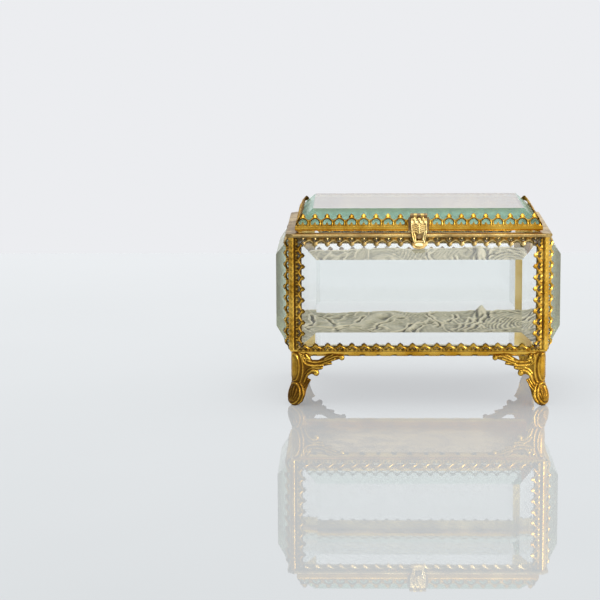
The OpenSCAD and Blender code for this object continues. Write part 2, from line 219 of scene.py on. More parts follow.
def metal(name, pale, deep, tarnish, dulled=(0.2, 0.5), rough=(0.2, 0.42), relief=True):
    """Worn metal: dulled is the noise range over which tarnish comes in."""
    material, tree, shader, _ = new_material(name)
    where = add_node(tree, "ShaderNodeTexCoord").outputs["Object"]
    cloud = noise(tree, where, CLOUD_SCALE, 4)
    speck = noise(tree, where, SPECK_SCALE, 3)
    grain = noise(tree, where, GRAIN_SCALE, 2)
    gold = ramp(tree, cloud, [(0.35, deep), (0.62, pale)])
    level = maths(tree, "MULTIPLY", speck, SPECK_SHARE)
    level = maths(tree, "ADD", level, maths(tree, "MULTIPLY", cloud, CLOUD_SHARE))
    if relief:
        crest = add_node(tree, "ShaderNodeAttribute", attribute_name="relief").outputs["Fac"]
        level = maths(tree, "ADD", level, maths(tree, "MULTIPLY", crest, CREST_SHARE))
    else:
        level = maths(tree, "ADD", level, NO_RELIEF)
    # Painted shade: more brown towards the left-hand end, the side away from the main light.
    across = add_node(tree, "ShaderNodeSeparateXYZ", {0: where}).outputs["X"]
    left_shade = mapped(tree, across, -LEFT_SHADE_REACH, LEFT_SHADE_REACH, -LEFT_SHADE_SHIFT, LEFT_SHADE_SHIFT)
    level = maths(tree, "ADD", level, left_shade)
    clean = mapped(tree, level, dulled[0] + DULL_START, dulled[1] + DULL_START, 0, 1)
    gloss = mapped(tree, maths(tree, "MULTIPLY", clean, speck), 0.1, 0.6, rough[1], rough[0])
    bump = add_node(tree, "ShaderNodeBump", {"Height": grain, "Strength": 0.25, "Distance": GRAIN_DEPTH})
    fill(tree, shader, {"Base Color": colour_mix(tree, clean, (*tarnish, 1), gold), "Metallic": 1,
                        "Roughness": gloss, "Normal": bump.outputs["Normal"]})
    return material


PALE_GOLD = (0.97, 0.60, 0.10)
DEEP_GOLD = (0.70, 0.35, 0.025)
BROWN = (0.14, 0.068, 0.012)
gilt = metal("gilt", PALE_GOLD, DEEP_GOLD, BROWN)
gilt_sheet = metal("gilt_sheet", (0.82, 0.50, 0.11), (0.60, 0.31, 0.04), (0.20, 0.10, 0.02),
                   rough=(0.26, 0.42), relief=False)
hasp_gilt = metal("hasp_gilt", (0.95, 0.74, 0.33), (0.86, 0.58, 0.18), (0.30, 0.16, 0.04),
                  dulled=(0.06, 0.42), rough=(0.22, 0.38))
# Painted reflection: a pale, clean gold for the back strips, whose faces see only the dark inside of the box.
lit_satin_gilt = metal("lit_satin_gilt", (0.88, 0.66, 0.27), (0.80, 0.55, 0.16), (0.5, 0.3, 0.08),
                   dulled=(0.05, 0.3), rough=(0.42, 0.6), relief=False)
foot_gilt = metal("foot_gilt", (0.96, 0.59, 0.09), (0.70, 0.35, 0.03), (0.20, 0.09, 0.012),
                  dulled=(0.18, 0.56), rough=(0.24, 0.4))
aged_gilt = metal("aged_gilt", (0.86, 0.62, 0.24), (0.58, 0.39, 0.14), (0.19, 0.12, 0.055),
                  dulled=(0.08, 0.46), rough=(0.24, 0.42))
aged_sheet = metal("aged_sheet", (0.60, 0.41, 0.19), (0.40, 0.26, 0.13), (0.14, 0.09, 0.065),
                   rough=(0.3, 0.5), relief=False)
# Painted shade: a dark brown for the front strips behind the posts, partly tarnish.
shaded_brown_sheet = metal("shaded_brown_sheet", (0.34, 0.20, 0.06), (0.20, 0.11, 0.035), (0.08, 0.045, 0.02),
                    rough=(0.35, 0.55), relief=False)
print("metals:", [m.name for m in (gilt, gilt_sheet, hasp_gilt, lit_satin_gilt, foot_gilt, aged_gilt,
                                   aged_sheet, shaded_brown_sheet)])

# %% [markdown]
# ## Glass
# Old plate glass has a little iron in it. Seen through its thickness it is clear, and seen
# along the plate, through the edges and bevels, it is sea green. A surface tint can't do
# that, so the colour comes from absorption inside the solid. Light has to reach the silk, so
# shadow rays and light scattered by the silk pass the glass as if it were a clear film. The
# bevels were ground by hand and those of the lid and the ends never took the full polish, so
# they get a tint, roughness and a share of diffuse haze. The haze's green and warm colours are
# partly painted light, standing in for the light that the bevels pass. What faces up gets a
# faint pinkish white, a painted reflection of the bright room that glass throws back at a
# glancing view. Both go by the way a face looks: a slope is a face that is square to none of
# the box's three directions.


# %% Plate glass with green depth
GLASS_IOR = 1.52
SQUARE_ON = 0.95
# Painted reflection: up-facing glass gets this share of a faintly pink white, the glare of the bright room.
TOP_GLARE = 0.24
GLARE_TINT = (0.95, 0.86, 0.86)
FILM = (0.985, 0.995, 0.99)


def plate_glass(name, depth_colour, density, slope_tint, slope_rough, slope_haze_and_light, haze_and_light_colour):
    """Clear plate with coloured depth, and its slopes' tint, roughness, share of haze and haze colour; the
    haze is partly frosting and partly painted light, and up-facing faces get a painted reflection.
    """
    material, tree, shader, output = new_material(name)
    facing = add_node(tree, "ShaderNodeTexCoord").outputs["Normal"]
    parts = add_node(tree, "ShaderNodeSeparateXYZ", {0: facing}).outputs
    most = 0.0
    for axis in "XYZ":
        most = maths(tree, "MAXIMUM", maths(tree, "ABSOLUTE", parts[axis], 0), most)
    slope = maths(tree, "LESS_THAN", most, SQUARE_ON)
    fill(tree, shader, {"Base Color": colour_mix(tree, slope, (1, 1, 1, 1), (*slope_tint, 1)),
                        "Roughness": maths(tree, "MULTIPLY", slope, slope_rough),
                        "Transmission Weight": 1, "IOR": GLASS_IOR})
    inner = add_node(tree, "ShaderNodeNewGeometry").outputs["Backfacing"]
    # Painted reflection on the outer up-facing faces. The slopes' haze is partly frosting and partly painted
    # light.
    upper = maths(tree, "SUBTRACT", maths(tree, "GREATER_THAN", parts["Z"], SQUARE_ON), inner)
    painted_glare = maths(tree, "MULTIPLY", maths(tree, "MAXIMUM", upper, 0), TOP_GLARE)
    glare_and_haze_colour = colour_mix(tree, slope, (*GLARE_TINT, 1), (*haze_and_light_colour, 1))
    haze_and_glare = add_node(tree, "ShaderNodeBsdfDiffuse", {"Color": glare_and_haze_colour})
    amount = maths(tree, "ADD", maths(tree, "MULTIPLY", slope, slope_haze_and_light), painted_glare)
    seen = add_node(tree, "ShaderNodeMixShader", {0: amount, 1: shader.outputs[0], 2: haze_and_glare.outputs[0]})
    film = add_node(tree, "ShaderNodeBsdfTransparent", {"Color": (*FILM, 1)})
    path = add_node(tree, "ShaderNodeLightPath").outputs
    lit = maths(tree, "MAXIMUM", path["Is Shadow Ray"], path["Is Diffuse Ray"])
    both = add_node(tree, "ShaderNodeMixShader", {0: lit, 1: seen.outputs[0], 2: film.outputs[0]})
    depth = add_node(tree, "ShaderNodeVolumeAbsorption", {"Color": (*depth_colour, 1), "Density": density})
    fill(tree, output, {"Surface": both.outputs[0], "Volume": depth.outputs[0]})
    return material


# The haze colours, green on the lid and warm on the ends, partly stand for the light the bevels pass: painted
# light.
crystal = plate_glass("crystal", (0.0, 0.45, 0.30), 5.0, (1, 1, 1), 0.0, 0.05, (0.90, 0.88, 0.80))
end_crystal = plate_glass("end_crystal", (0.0, 0.45, 0.30), 8.0,
                          (0.94, 0.96, 0.90), 0.2, 0.24, (0.86, 0.85, 0.63))
lid_crystal = plate_glass("lid_crystal", (0.0, 0.50, 0.30), 9.0,
                          (0.83, 1.0, 0.90), 0.22, 0.22, (0.56, 0.90, 0.70))
print("glass:", [m.name for m in (crystal, end_crystal, lid_crystal)])

# %% [markdown]
# ## Pieces from plain lists
# The frame pieces are made as lists of points in millimetres. One helper turns such lists
# into a mesh in metres. Another makes the finished mesh an object, smooths what is round and
# keeps what is sharp, puts it on its body and hides the imported pieces it stands for.


# %% Make a mesh and hand it over
def note(mesh, label, values):
    """Keep one number a point on a mesh, for its material to read."""
    attribute = mesh.attributes.new(label, "FLOAT", "POINT")
    attribute.data.foreach_set("value", np.asarray(values, np.float32))


def as_mesh(name, points, faces, relief):
    """A mesh in metres from points in millimetres, with its relief attribute."""
    mesh = bpy.data.meshes.new(name)
    mesh.from_pydata((np.asarray(points, float) * MM).tolist(), [], faces)
    note(mesh, "relief", relief)
    mesh.validate()
    return mesh


def from_bmesh(name, body):
    """The edited shape as a mesh."""
    mesh = bpy.data.meshes.new(name)
    body.to_mesh(mesh)
    body.free()
    return mesh


def joined(name, meshes):
    """Several meshes as one."""
    body = bmesh.new()
    for mesh in meshes:
        body.from_mesh(mesh)
        bpy.data.meshes.remove(mesh)
    return from_bmesh(name, body)


def placed(mesh, x_axis, y_axis, origin):
    """The mesh moved so that its own X and Y lie along these directions."""
    x_axis, y_axis = Vector(x_axis).normalized(), Vector(y_axis).normalized()
    turn = Matrix((x_axis, y_axis, x_axis.cross(y_axis))).transposed().to_4x4()
    mesh.transform(Matrix.Translation(Vector(origin) * MM) @ turn)
    return mesh


def hand_over(name, mesh, material, body, replaces, crease=40):
    """The finished piece on its body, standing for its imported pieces."""
    mesh.name = name
    mesh.materials.clear()
    mesh.materials.append(material)
    mesh.polygons.foreach_set("use_smooth", [True] * len(mesh.polygons))
    mesh.set_sharp_from_angle(angle=math.radians(crease))
    piece = in_scene(name, mesh)
    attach(piece, body)
    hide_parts(*replaces)
    print(name, len(mesh.polygons), "faces")
    return piece


# %% [markdown]
# ## The pierced border
# The border is one stamping repeated: a pointed arch round a teardrop opening, a bead where
# two arches meet, a small dart at the foot of the opening and a leaf tip above. It repeats
# nearly three hundred times on the box, so one unit has only seventy faces, and nothing but
# its crests and hollows is modelled. Half of it is listed and the other half mirrored.

# %% One unit of the border
UNIT_HALF = {
    # name: (across in pitches, up in heights, crest in millimetres)
    "hole0": (0, 0.30, 0.3), "hole1": (0.13, 0.09, 0.05), "hole2": (0.29, 0.08, 0.05),
    "hole3": (0.36, 0.22, 0.05), "hole4": (0.31, 0.37, 0.05), "hole5": (0.17, 0.50, 0.05),
    "hole6": (0, 0.57, 0.05),
    "arch0": (0, 0.08, 0.5), "arch1": (0.2, -0.01, 0.22), "arch2": (0.40, 0.03, 0.4),
    "arch3": (0.435, 0.21, 0.46), "arch4": (0.385, 0.41, 0.52), "arch5": (0.185, 0.57, 0.56),
    "arch6": (0, 0.65, 0.45),
    "base0": (0, -0.1, 0.1), "base1": (0.22, -0.1, 0.1), "base2": (0.5, -0.1, 0.1),
    "web": (0.5, 0.17, 0.0), "bead": (0.5, 0.36, 0.6), "notch": (0.5, 0.47, 0.1),
    "edge0": (0.36, 0.52, 0.06), "edge1": (0.19, 0.66, 0.06), "edge2": (0.225, 0.77, 0.12),
    "edge3": (0.1, 0.91, 0.12), "edge4": (0, 1.0, 0.08), "boss": (0, 0.80, 0.34),
}
UNIT_FACES = [
    ("hole0", "arch0", "arch1", "hole1"), ("hole1", "arch1", "arch2", "hole2"),
    ("hole2", "arch2", "arch3", "hole3"), ("hole3", "arch3", "arch4", "hole4"),
    ("hole4", "arch4", "arch5", "hole5"), ("hole5", "arch5", "arch6", "hole6"),
    ("arch0", "base0", "base1", "arch1"), ("arch1", "base1", "base2", "arch2"),
    ("arch2", "base2", "web", "arch3"), ("arch3", "web", "bead", "arch4"),
    ("arch4", "bead", "notch", "edge0"), ("arch4", "edge0", "edge1", "arch5"),
    ("arch5", "edge1", "edge2", "boss"), ("boss", "edge2", "edge3"), ("boss", "edge3", "edge4"),
    ("arch5", "boss", "arch6"),
]
UNIT_RIM = ["notch", "edge0", "edge1", "edge2", "edge3", "edge4"]
UNIT_ROOT = ["base0", "base1", "base2"]
UNIT_BACK = [
    ("hole0", "hole1", "base1", "base0"), ("hole1", "hole2", "base2", "base1"),
    ("hole2", "hole3", "web", "base2"), ("hole3", "hole4", "notch", "web"),
    ("hole4", "hole5", "edge1", "edge0", "notch"),
    ("hole5", "hole6", "edge4", "edge3", "edge2", "edge1"),
]
HOLE_MIDDLE = 0.32
HOLE_LOOP = ["hole0", "hole1", "hole2", "hole3", "hole4", "hole5", "hole6"]
WEB_SHARE = 0.55
FULL_CREST = 0.5


def border_unit(name, height, opening=1.0):
    """The unit as an object, its root on the X axis and its crests towards +Z. opening is the
    size of its hole, as a share of the drawn one."""
    body = bmesh.new()
    layer = body.verts.layers.float.new("relief")
    front = {}
    back = {}
    for side in (1, -1):
        for key, (across, up, rise) in UNIT_HALF.items():
            if key.startswith("hole"):
                across, up = across * opening, HOLE_MIDDLE + (up - HOLE_MIDDLE) * opening
            point = Vector((side * across * ARCH_PITCH, up * height, SHEET_T * WEB_SHARE + rise)) * MM
            front[side, key] = body.verts.new(point)
            front[side, key][layer] = min(1.0, rise / FULL_CREST)
            back[side, key] = body.verts.new((point.x, point.y, 0))
    for side in (1, -1):
        for names in UNIT_FACES:
            body.faces.new([front[side, n] for n in names][::-side])
        for names in UNIT_BACK:
            body.faces.new([back[side, n] for n in names][::-side])
        for loop, order in ((UNIT_RIM, side), (HOLE_LOOP, -side), (UNIT_ROOT, -side)):
            for a, b in zip(loop, loop[1:]):
                wall = [front[side, a], front[side, b], back[side, b], back[side, a]]
                body.faces.new(wall[::order])
    bmesh.ops.remove_doubles(body, verts=body.verts, dist=1e-7)
    loose = [v for v in body.verts if not v.link_faces]
    bmesh.ops.delete(body, geom=loose, context="VERTS")
    bmesh.ops.recalc_face_normals(body, faces=body.faces)
    unit = in_scene(name, from_bmesh(name, body))
    unit.hide_render = True
    print(name, len(unit.data.polygons), "faces a unit")
    return unit


# %% [markdown]
# A Geometry Nodes tree sets the units along a rail. A mesh line gives one point a unit, each
# point takes an instance, and the instances are made real, because an exported model has
# none. The pitch is an input, so that every rail can hold a whole number of arches.


# %% The tree that lays a row of units
def row_tree():
    """Units in a row along X, centred, one pitch apart and stretched to fill it."""
    tree = bpy.data.node_groups.new("border_row", "GeometryNodeTree")
    sockets = [("Unit", "NodeSocketObject", None), ("Count", "NodeSocketInt", 3),
               ("Pitch", "NodeSocketFloat", 0.005), ("Stretch", "NodeSocketFloat", 1.0),
               ("Metal", "NodeSocketMaterial", None)]
    for label, kind, value in sockets:
        socket = tree.interface.new_socket(label, in_out="INPUT", socket_type=kind)
        if value is not None:
            socket.default_value = value
    tree.interface.new_socket("Geometry", in_out="OUTPUT", socket_type="NodeSocketGeometry")
    given = add_node(tree, "NodeGroupInput").outputs
    steps = maths(tree, "SUBTRACT", given["Count"], 1.0)
    first = maths(tree, "MULTIPLY", maths(tree, "MULTIPLY", steps, given["Pitch"]), -0.5)
    start = add_node(tree, "ShaderNodeCombineXYZ", {"X": first})
    offset = add_node(tree, "ShaderNodeCombineXYZ", {"X": given["Pitch"]})
    line = add_node(tree, "GeometryNodeMeshLine", {
        "Count": given["Count"], "Start Location": start.outputs[0], "Offset": offset.outputs[0]})
    unit = add_node(tree, "GeometryNodeObjectInfo", {"Object": given["Unit"], "As Instance": True})
    scale = add_node(tree, "ShaderNodeCombineXYZ", {"X": given["Stretch"], "Y": 1.0, "Z": 1.0})
    units = add_node(tree, "GeometryNodeInstanceOnPoints", {
        "Points": line.outputs[0], "Instance": unit.outputs["Geometry"], "Scale": scale.outputs[0]})
    real = add_node(tree, "GeometryNodeRealizeInstances", {"Geometry": units.outputs[0]})
    done = add_node(tree, "GeometryNodeSetMaterial", {
        "Geometry": real.outputs[0], "Material": given["Metal"]})
    add_node(tree, "NodeGroupOutput", {"Geometry": done.outputs[0]})
    return tree


def grown(tree, values):
    """The tree's result as a plain mesh, with its inputs set by the sockets' identifiers."""
    holder = in_scene("holder", bpy.data.meshes.new("holder"))
    modifier = holder.modifiers.new("tree", "NODES")
    modifier.node_group = tree
    for item in tree.interface.items_tree:
        if item.item_type == "SOCKET" and item.in_out == "INPUT" and item.name in values:
            modifier[item.identifier] = values[item.name]
    ready = holder.evaluated_get(bpy.context.evaluated_depsgraph_get())
    mesh = bpy.data.meshes.new_from_object(ready)
    holder.modifiers.remove(modifier)
    bpy.data.objects.remove(holder)
    return mesh


BORDER_ROW = row_tree()
print("border tree:", len(BORDER_ROW.nodes), "nodes")

# %% [markdown]
# A corner cuts the row off at a mitre, as a smith would snip the strip before folding it. The
# row is trimmed at both mitres and below its root, and the cuts are closed, so the strip
# stays a solid.


# %% Lay, trim and bend a row
WANDER = 0.12
WANDER_REACH = 5
TURN = 6.28


def waver(mesh):
    """Hand work: the strip wanders a little in and out, more at the tips than at the root."""
    points = np.zeros(len(mesh.vertices) * 3)
    mesh.vertices.foreach_get("co", points)
    points = points.reshape(-1, 3)
    along = points[:, 0] / MM
    reach = np.clip(points[:, 1] / MM / WANDER_REACH, 0, 1)
    outwards = np.sin(along * TURN / 23.0 + 1) + 0.6 * np.sin(along * TURN / 9.7)
    points[:, 2] += MM * WANDER * reach * outwards
    points[:, 1] += MM * WANDER * 0.5 * reach * np.sin(along * TURN / 13.1 + 2)
    mesh.vertices.foreach_set("co", points.ravel())


def cut_back(body, place, normal):
    """Take away what lies beyond a plane, in metres, and close the cut."""
    cut = bmesh.ops.bisect_plane(body, geom=body.verts[:] + body.edges[:] + body.faces[:],
                                 plane_co=place, plane_no=normal, clear_outer=True)
    edges = [e for e in cut["geom_cut"] if isinstance(e, bmesh.types.BMEdge)]
    bmesh.ops.holes_fill(body, edges=edges, sides=0)


def border(unit, length, mitre, strip=0.5):
    """A row of the border of this length at its root, its ends cut back by the mitre share and
    its plain strip cut to this width below the root."""
    count = round(length / ARCH_PITCH)
    pitch = length / count
    mesh = grown(BORDER_ROW, {"Unit": unit, "Count": count, "Pitch": pitch * MM,
                              "Stretch": pitch / ARCH_PITCH, "Metal": gilt})
    waver(mesh)
    body = bmesh.new()
    body.from_mesh(mesh)
    bpy.data.meshes.remove(mesh)
    bmesh.ops.remove_doubles(body, verts=body.verts, dist=2e-6)
    for side in (1, -1):
        cut_back(body, (side * length / 2 * MM, 0, 0), (side, mitre, 0))
    cut_back(body, (0, -strip * MM, 0), (0, -1, 0))
    return from_bmesh("border", body)


WALL_BORDER_H = 5.0
LID_TIP_GAP = 0.2
wall_unit = border_unit("wall_unit", WALL_BORDER_H, opening=0.74)
lid_rise = node_box("front_lid_rail")[1][2] - LID_LOW - LID_BAND_H
LID_BORDER_H = lid_rise / math.cos(LID_LEAN) - LID_TIP_GAP
lid_unit = border_unit("lid_unit", LID_BORDER_H)

# %% [markdown]
# ## The rails
# A rail is a drawn strip folded lengthwise. Its section is drawn once, outwards and upwards
# from the post line, and swept straight between two mitres: a point that stands further out
# also reaches further round the corner, so the four rails close up without a gap. The rim's
# corners are snipped off square to the mitre.


# %% Sweep a section between two mitres
def arc(centre, radius, start, end, steps=10):
    """Points on an arc of the section, angles in degrees."""
    return [(centre[0] + radius * math.cos(a), centre[1] + radius * math.sin(a))
            for a in np.radians(np.linspace(start, end, steps))]


def ring_faces(rings, n):
    """Quads between rings of n points, and a cap at each end."""
    faces = [(k * n + i, k * n + (i + 1) % n, (k + 1) * n + (i + 1) % n, (k + 1) * n + i)
             for k in range(rings - 1) for i in range(n)]
    return faces + [tuple(range(n))[::-1], tuple(range((rings - 1) * n, rings * n))]


def swept(section, half, out, steps=24, marks=(), crest=0.75):
    """The section run along X between its mitres, at this distance in front of the middle. marks
    are the points of the section that are nipped in at every MARK_PITCH."""
    across = np.linspace(-1, 1, steps + 1)
    points = [(t * (half + u - MITRE_PLAY), -(out + u), z) for t in across for u, z in section]
    relief = np.full(len(points), crest)
    for k, (x, y, z) in enumerate(points):
        if k % len(section) in marks and abs((x / MARK_PITCH) % 1 - 0.5) < MARK_SHARE:
            points[k] = (x, y, z + MARK_DEPTH)
            relief[k] = 0
    return as_mesh("swept", points, ring_faces(steps + 1, len(section)), relief)


def outward(mesh, cuts=()):
    """The solid cut back by planes, its normals recalculated to point outwards."""
    body = bmesh.new()
    body.from_mesh(mesh)
    for place, normal in cuts:
        cut_back(body, Vector(place) * MM, normal)
    bmesh.ops.recalc_face_normals(body, faces=body.faces)
    body.to_mesh(mesh)
    body.free()
    return mesh


MITRE_PLAY = 0.02
MARK_PITCH = 7.2
MARK_SHARE = 0.13
MARK_DEPTH = 0.15
BEAD_OUT = 1.5
BEAD_R = 0.85
RIM_CUT = 1.35
LIP_BACK = -1.5
RIM_BACK = -3.4
TOP_SECTION = (
    [(RIM_BACK, RIM_TOP - 0.6), (LIP_BACK, RIM_TOP - 0.6), (LIP_BACK, WALL_HIGH - 3.5),
     (-LIP_IN, WALL_HIGH - 3.5), (-LIP_IN, WALL_HIGH + 0.1), (1.1, WALL_HIGH + 0.1)]
    + arc((BEAD_OUT, RIM_TOP - BEAD_R), BEAD_R, -115, 110)
    + [(BEAD_OUT - 0.75, RIM_TOP - 0.16), (BEAD_OUT - 1.1, RIM_TOP), (RIM_BACK, RIM_TOP)])
BAR_R = 1.5
BAR_IN = 1.35
BAR_Z = WALL_LOW - 3.5 + BAR_R
SHELF_LOW = WALL_LOW - 0.8
SHELF_TOP = WALL_LOW - PLAY
SHELF_BACK = -5
LIP_TOP = WALL_LOW + 1.6
BOTTOM_SECTION = (
    [(SHELF_BACK, SHELF_LOW), (-BAR_IN - 2 * BAR_R + 0.3, SHELF_LOW)]
    + arc((-BAR_IN - BAR_R, BAR_Z), BAR_R, -160, 10, 14)
    + [(-BAR_IN, SHELF_LOW), (ROOT_OUT, SHELF_LOW), (ROOT_OUT, SHELF_TOP), (-LIP_IN, SHELF_TOP),
       (-LIP_IN, LIP_TOP), (LIP_BACK, LIP_TOP), (LIP_BACK, SHELF_TOP), (SHELF_BACK, SHELF_TOP)])
BAR_POINTS = range(6, 13)
LID_BAND = [(-0.12, LID_LOW), (0.1, LID_LOW + 0.25), (0.16, LID_LOW + LID_BAND_H * 0.5),
            (0.1, LID_LOW + LID_BAND_H - 0.3), (-0.1, LID_LOW + LID_BAND_H),
            (-LID_BAND_T, LID_LOW + LID_BAND_H), (-LID_BAND_T, LID_LOW + 0.5), (-3, LID_LOW + 0.5)]
LID_FRONT_SECTION = [(-3, LID_LOW)] + LID_BAND
LID_SECTION = [(-3, RIM_TOP + 0.15), (-1, RIM_TOP + 0.15), (-1, LID_LOW)] + LID_BAND

SIDES = ["front", "right", "back", "left"]


def side_sizes(index, half_w, half_d):
    """Half length and distance of a side: 0 front, 1 right, 2 back, 3 left."""
    return (half_w, half_d) if index % 2 == 0 else (half_d, half_w)


def turned_rail(index, rail, row):
    """A rail and its border, drawn for the front, joined and turned to their side."""
    mesh = joined("rail", [rail, row])
    mesh.transform(Matrix.Rotation(math.pi / 2 * index, 4, "Z"))
    return mesh


sin_w, cos_w = math.sin(WALL_LEAN), math.cos(WALL_LEAN)
sin_l, cos_l = math.sin(LID_LEAN), math.cos(LID_LEAN)
SPINE_IN = 2.5
ROOT_LAP = 0.3
RAIL_MITRE_GAP = 0.35
LID_MITRE_GAP = 0.7

for index, side in enumerate(SIDES):
    half, out = side_sizes(index, HALF_W, HALF_D)
    length = 2 * (half - SPINE_IN - RAIL_MITRE_GAP)
    corners = [((way * (half + RIM_CUT), -out, 0), (way, -1, 0)) for way in (1, -1)]
    rail = outward(swept(TOP_SECTION, half, out, crest=0.33), corners)
    row = placed(border(wall_unit, length, cos_w), (-1, 0, 0), (0, -sin_w, -cos_w),
                 (0, -out - ROOT_OUT, WALL_HIGH + ROOT_LAP))
    hand_over(side + "_rim", turned_rail(index, rail, row), aged_gilt, "case",
              [side + "_top_rail"])
    rail = outward(swept(BOTTOM_SECTION, half, out, steps=132, marks=BAR_POINTS))
    row = placed(border(wall_unit, length, cos_w), (1, 0, 0), (0, -sin_w, cos_w),
                 (0, -out - ROOT_OUT, WALL_LOW - ROOT_LAP))
    hand_over(side + "_base", turned_rail(index, rail, row), gilt, "case", [side + "_bottom_rail"])
    half, out = side_sizes(index, LID_HALF_W, LID_HALF_D)
    rail = outward(swept(LID_FRONT_SECTION if side == "front" else LID_SECTION, half, out))
    row = placed(border(lid_unit, 2 * (half - LID_MITRE_GAP), sin_l), (1, 0, 0), (0, sin_l, cos_l),
                 (0, -out + LID_BAND_T, LID_LOW + LID_BAND_H))
    hand_over(side + "_lid_border", turned_rail(index, rail, row), gilt, "lid", [side + "_lid_rail"])

# %% [markdown]
# ## The corner posts
# A post is a spine across the corner with a pierced border folded out on each side. The spine
# is a narrow bead struck with small scallops on each face. Between it and the border runs a
# groove whose relief is set to nothing, so it takes the full brown: partly tarnish, partly
# painted shade of the gap. One post is built for the front left corner and mirrored to the
# others. A mirror turns a shell inside out, so its faces are flipped after it.


# %% Posts
def mirrored(mesh, sx, sy):
    """A copy of a front left mesh, mirrored to another corner."""
    copy = mesh.copy()
    copy.transform(Matrix.Diagonal((-sx, -sy, 1, 1)))
    if sx * sy < 0:
        copy.flip_normals()
    return copy


# Half of the spine's section: place along the wall, distance out from it, crest
SPINE_FOOT = [(GLASS_IN, GLASS_OUT, 0.5), (GLASS_IN, ROOT_OUT, 0.5), (SPINE_IN, ROOT_OUT, 0.3),
              (SPINE_IN, ROOT_OUT + 0.2, 0.1)]
# The first three points are the groove, crest 0: full brown, partly tarnish and partly painted shade.
SPINE_BEAD = [(1.98, 0.58, 0.0), (1.7, 0.5, 0.0), (1.42, 0.54, 0.0), (1.25, 0.76, 0.7),
              (0.95, 0.92, 1.0), (0.5, 0.9, 1.0), (0.15, 0.68, 0.9), (-0.16, 0.44, 0.8)]
SPINE_TOP = WALL_HIGH + 0.1
SCALLOP_PITCH = 2.52
SCALLOP_DEPTH = 0.13
WING_MITRE_GAP = 0.15
WING_STRIP = 0.04


def spine_mesh():
    """The front left spine, struck with scallops."""
    levels = np.arange(WALL_LOW, SPINE_TOP + 0.01, 0.5)
    levels[-1] = SPINE_TOP
    points, relief = [], []
    for z in levels:
        half = list(SPINE_FOOT)
        for along, out, crest in SPINE_BEAD:
            leaf = abs(math.cos(math.pi * ((z - WALL_LOW) / SCALLOP_PITCH + along / 6)))
            half.append((along, out - SCALLOP_DEPTH * (1 - leaf) * crest, crest * (0.6 + 0.4 * leaf)))
        ring = [(x, -y, r) for x, y, r in half] + [(-y, x, r) for x, y, r in half[::-1]]
        points += [(-HALF_W + x, -HALF_D + y, z) for x, y, _ in ring]
        relief += [r for *_, r in ring]
    return outward(as_mesh("spine", points, ring_faces(len(levels), len(ring)), relief))


def post_mesh():
    """The front left post: its spine and a border on either side."""
    length = SPINE_TOP - WALL_LOW - 2 * WING_MITRE_GAP
    middle = (WALL_LOW + SPINE_TOP) / 2
    root = SPINE_IN - PLAY
    wings = [((0, 0, -1), (cos_w, -sin_w, 0), (-HALF_W + root, -HALF_D - ROOT_OUT, middle)),
             ((0, 0, 1), (-sin_w, cos_w, 0), (-HALF_W - ROOT_OUT, -HALF_D + root, middle))]
    rows = [placed(border(wall_unit, length, cos_w, strip=WING_STRIP), *wing) for wing in wings]
    return joined("post", [spine_mesh()] + rows)


CORNERS = {"front_left": (-1, -1), "front_right": (1, -1), "back_left": (-1, 1), "back_right": (1, 1)}
front_left_post = post_mesh()
for corner, (sx, sy) in CORNERS.items():
    hand_over(corner + "_corner_post", mirrored(front_left_post, sx, sy), gilt, "case",
              [corner + "_post"])

# %% [markdown]
# ## The corners' inner strips
# Inside each corner a plain folded strip keeps the plates apart. On the back wall it is wider
# and shows through the front as an upright band of satin gold, painted pale and clean. That is
# a painted reflection, since its faces see only the dark inside of the box. In front it hides
# behind the posts and is painted dark brown, partly tarnish and partly painted shade of the posts.

# %% Folded strips in the corners
PLAIN_CREST = 0.7


def folded_strip(along_wall, along_end):
    """An angle in the back left corner, its legs flat against the back and the end plate."""
    low, high = (corner[2] for corner in node_box("back_left_inner_angle"))
    a, b, t = along_wall, along_end, SHEET_T
    ring = [(0, 0), (a, 0), (a, -t), (t, -t), (t, -b), (0, -b)]
    points = [(x - HALF_W + LIP_IN, y + HALF_D - LIP_IN, z) for z in (low, high) for x, y in ring]
    return outward(as_mesh("strip", points, ring_faces(2, len(ring)), [PLAIN_CREST] * len(points)))


# The back strips are painted light, and the front ones are painted shade.
STRIPS = {"back": (folded_strip(8.1, 6.5), lit_satin_gilt), "front": (folded_strip(4.6, 4.6), shaded_brown_sheet)}
for corner, (sx, sy) in CORNERS.items():
    shape, finish = STRIPS[corner.split("_")[0]]
    strip = shape.copy()
    strip.transform(Matrix.Diagonal((-sx, sy, 1, 1)))
    hand_over(corner + "_strip", outward(strip), finish, "case", [corner + "_inner_angle"])

# %% [markdown]
# ## Stamped sheet
# Feet and hasp are sheet brass struck between two dies: a flat blank with a cut outline gets
# its ribs, domes and veins in one blow and is then bent to shape. The same three steps make
# the mesh. The blank is filled with an even net of small triangles, the ribs are raised by
# the distance to their lines, and a function bends the flat points round the corner. The
# height of the relief is kept on the points, so that tarnish can settle in the hollows.


# %% Strike a blank, bend it and give it its thickness
def smooth_line(points):
    """Corners cut twice, which turns a rough line into a flowing one."""
    line = np.asarray(points, float)
    for _ in range(2):
        ahead = np.roll(line, -1, axis=0)
        near, far = 0.75 * line + 0.25 * ahead, 0.25 * line + 0.75 * ahead
        cut = np.stack([near, far], axis=1).reshape(-1, 2)
        line = np.vstack([line[:1], cut[:-2], line[-1:]])
    return line


def distance_down(line):
    """How far along the line each of its points lies."""
    return np.concatenate([[0], np.cumsum(np.linalg.norm(np.diff(line, axis=0), axis=1))])


def spaced(outline, step):
    """Points an even step apart round a closed outline."""
    loop = np.vstack([outline, outline[:1]])
    along = distance_down(loop)
    places = np.linspace(0, along[-1], int(round(along[-1] / step)), endpoint=False)
    return np.stack([np.interp(places, along, loop[:, k]) for k in (0, 1)], axis=1)


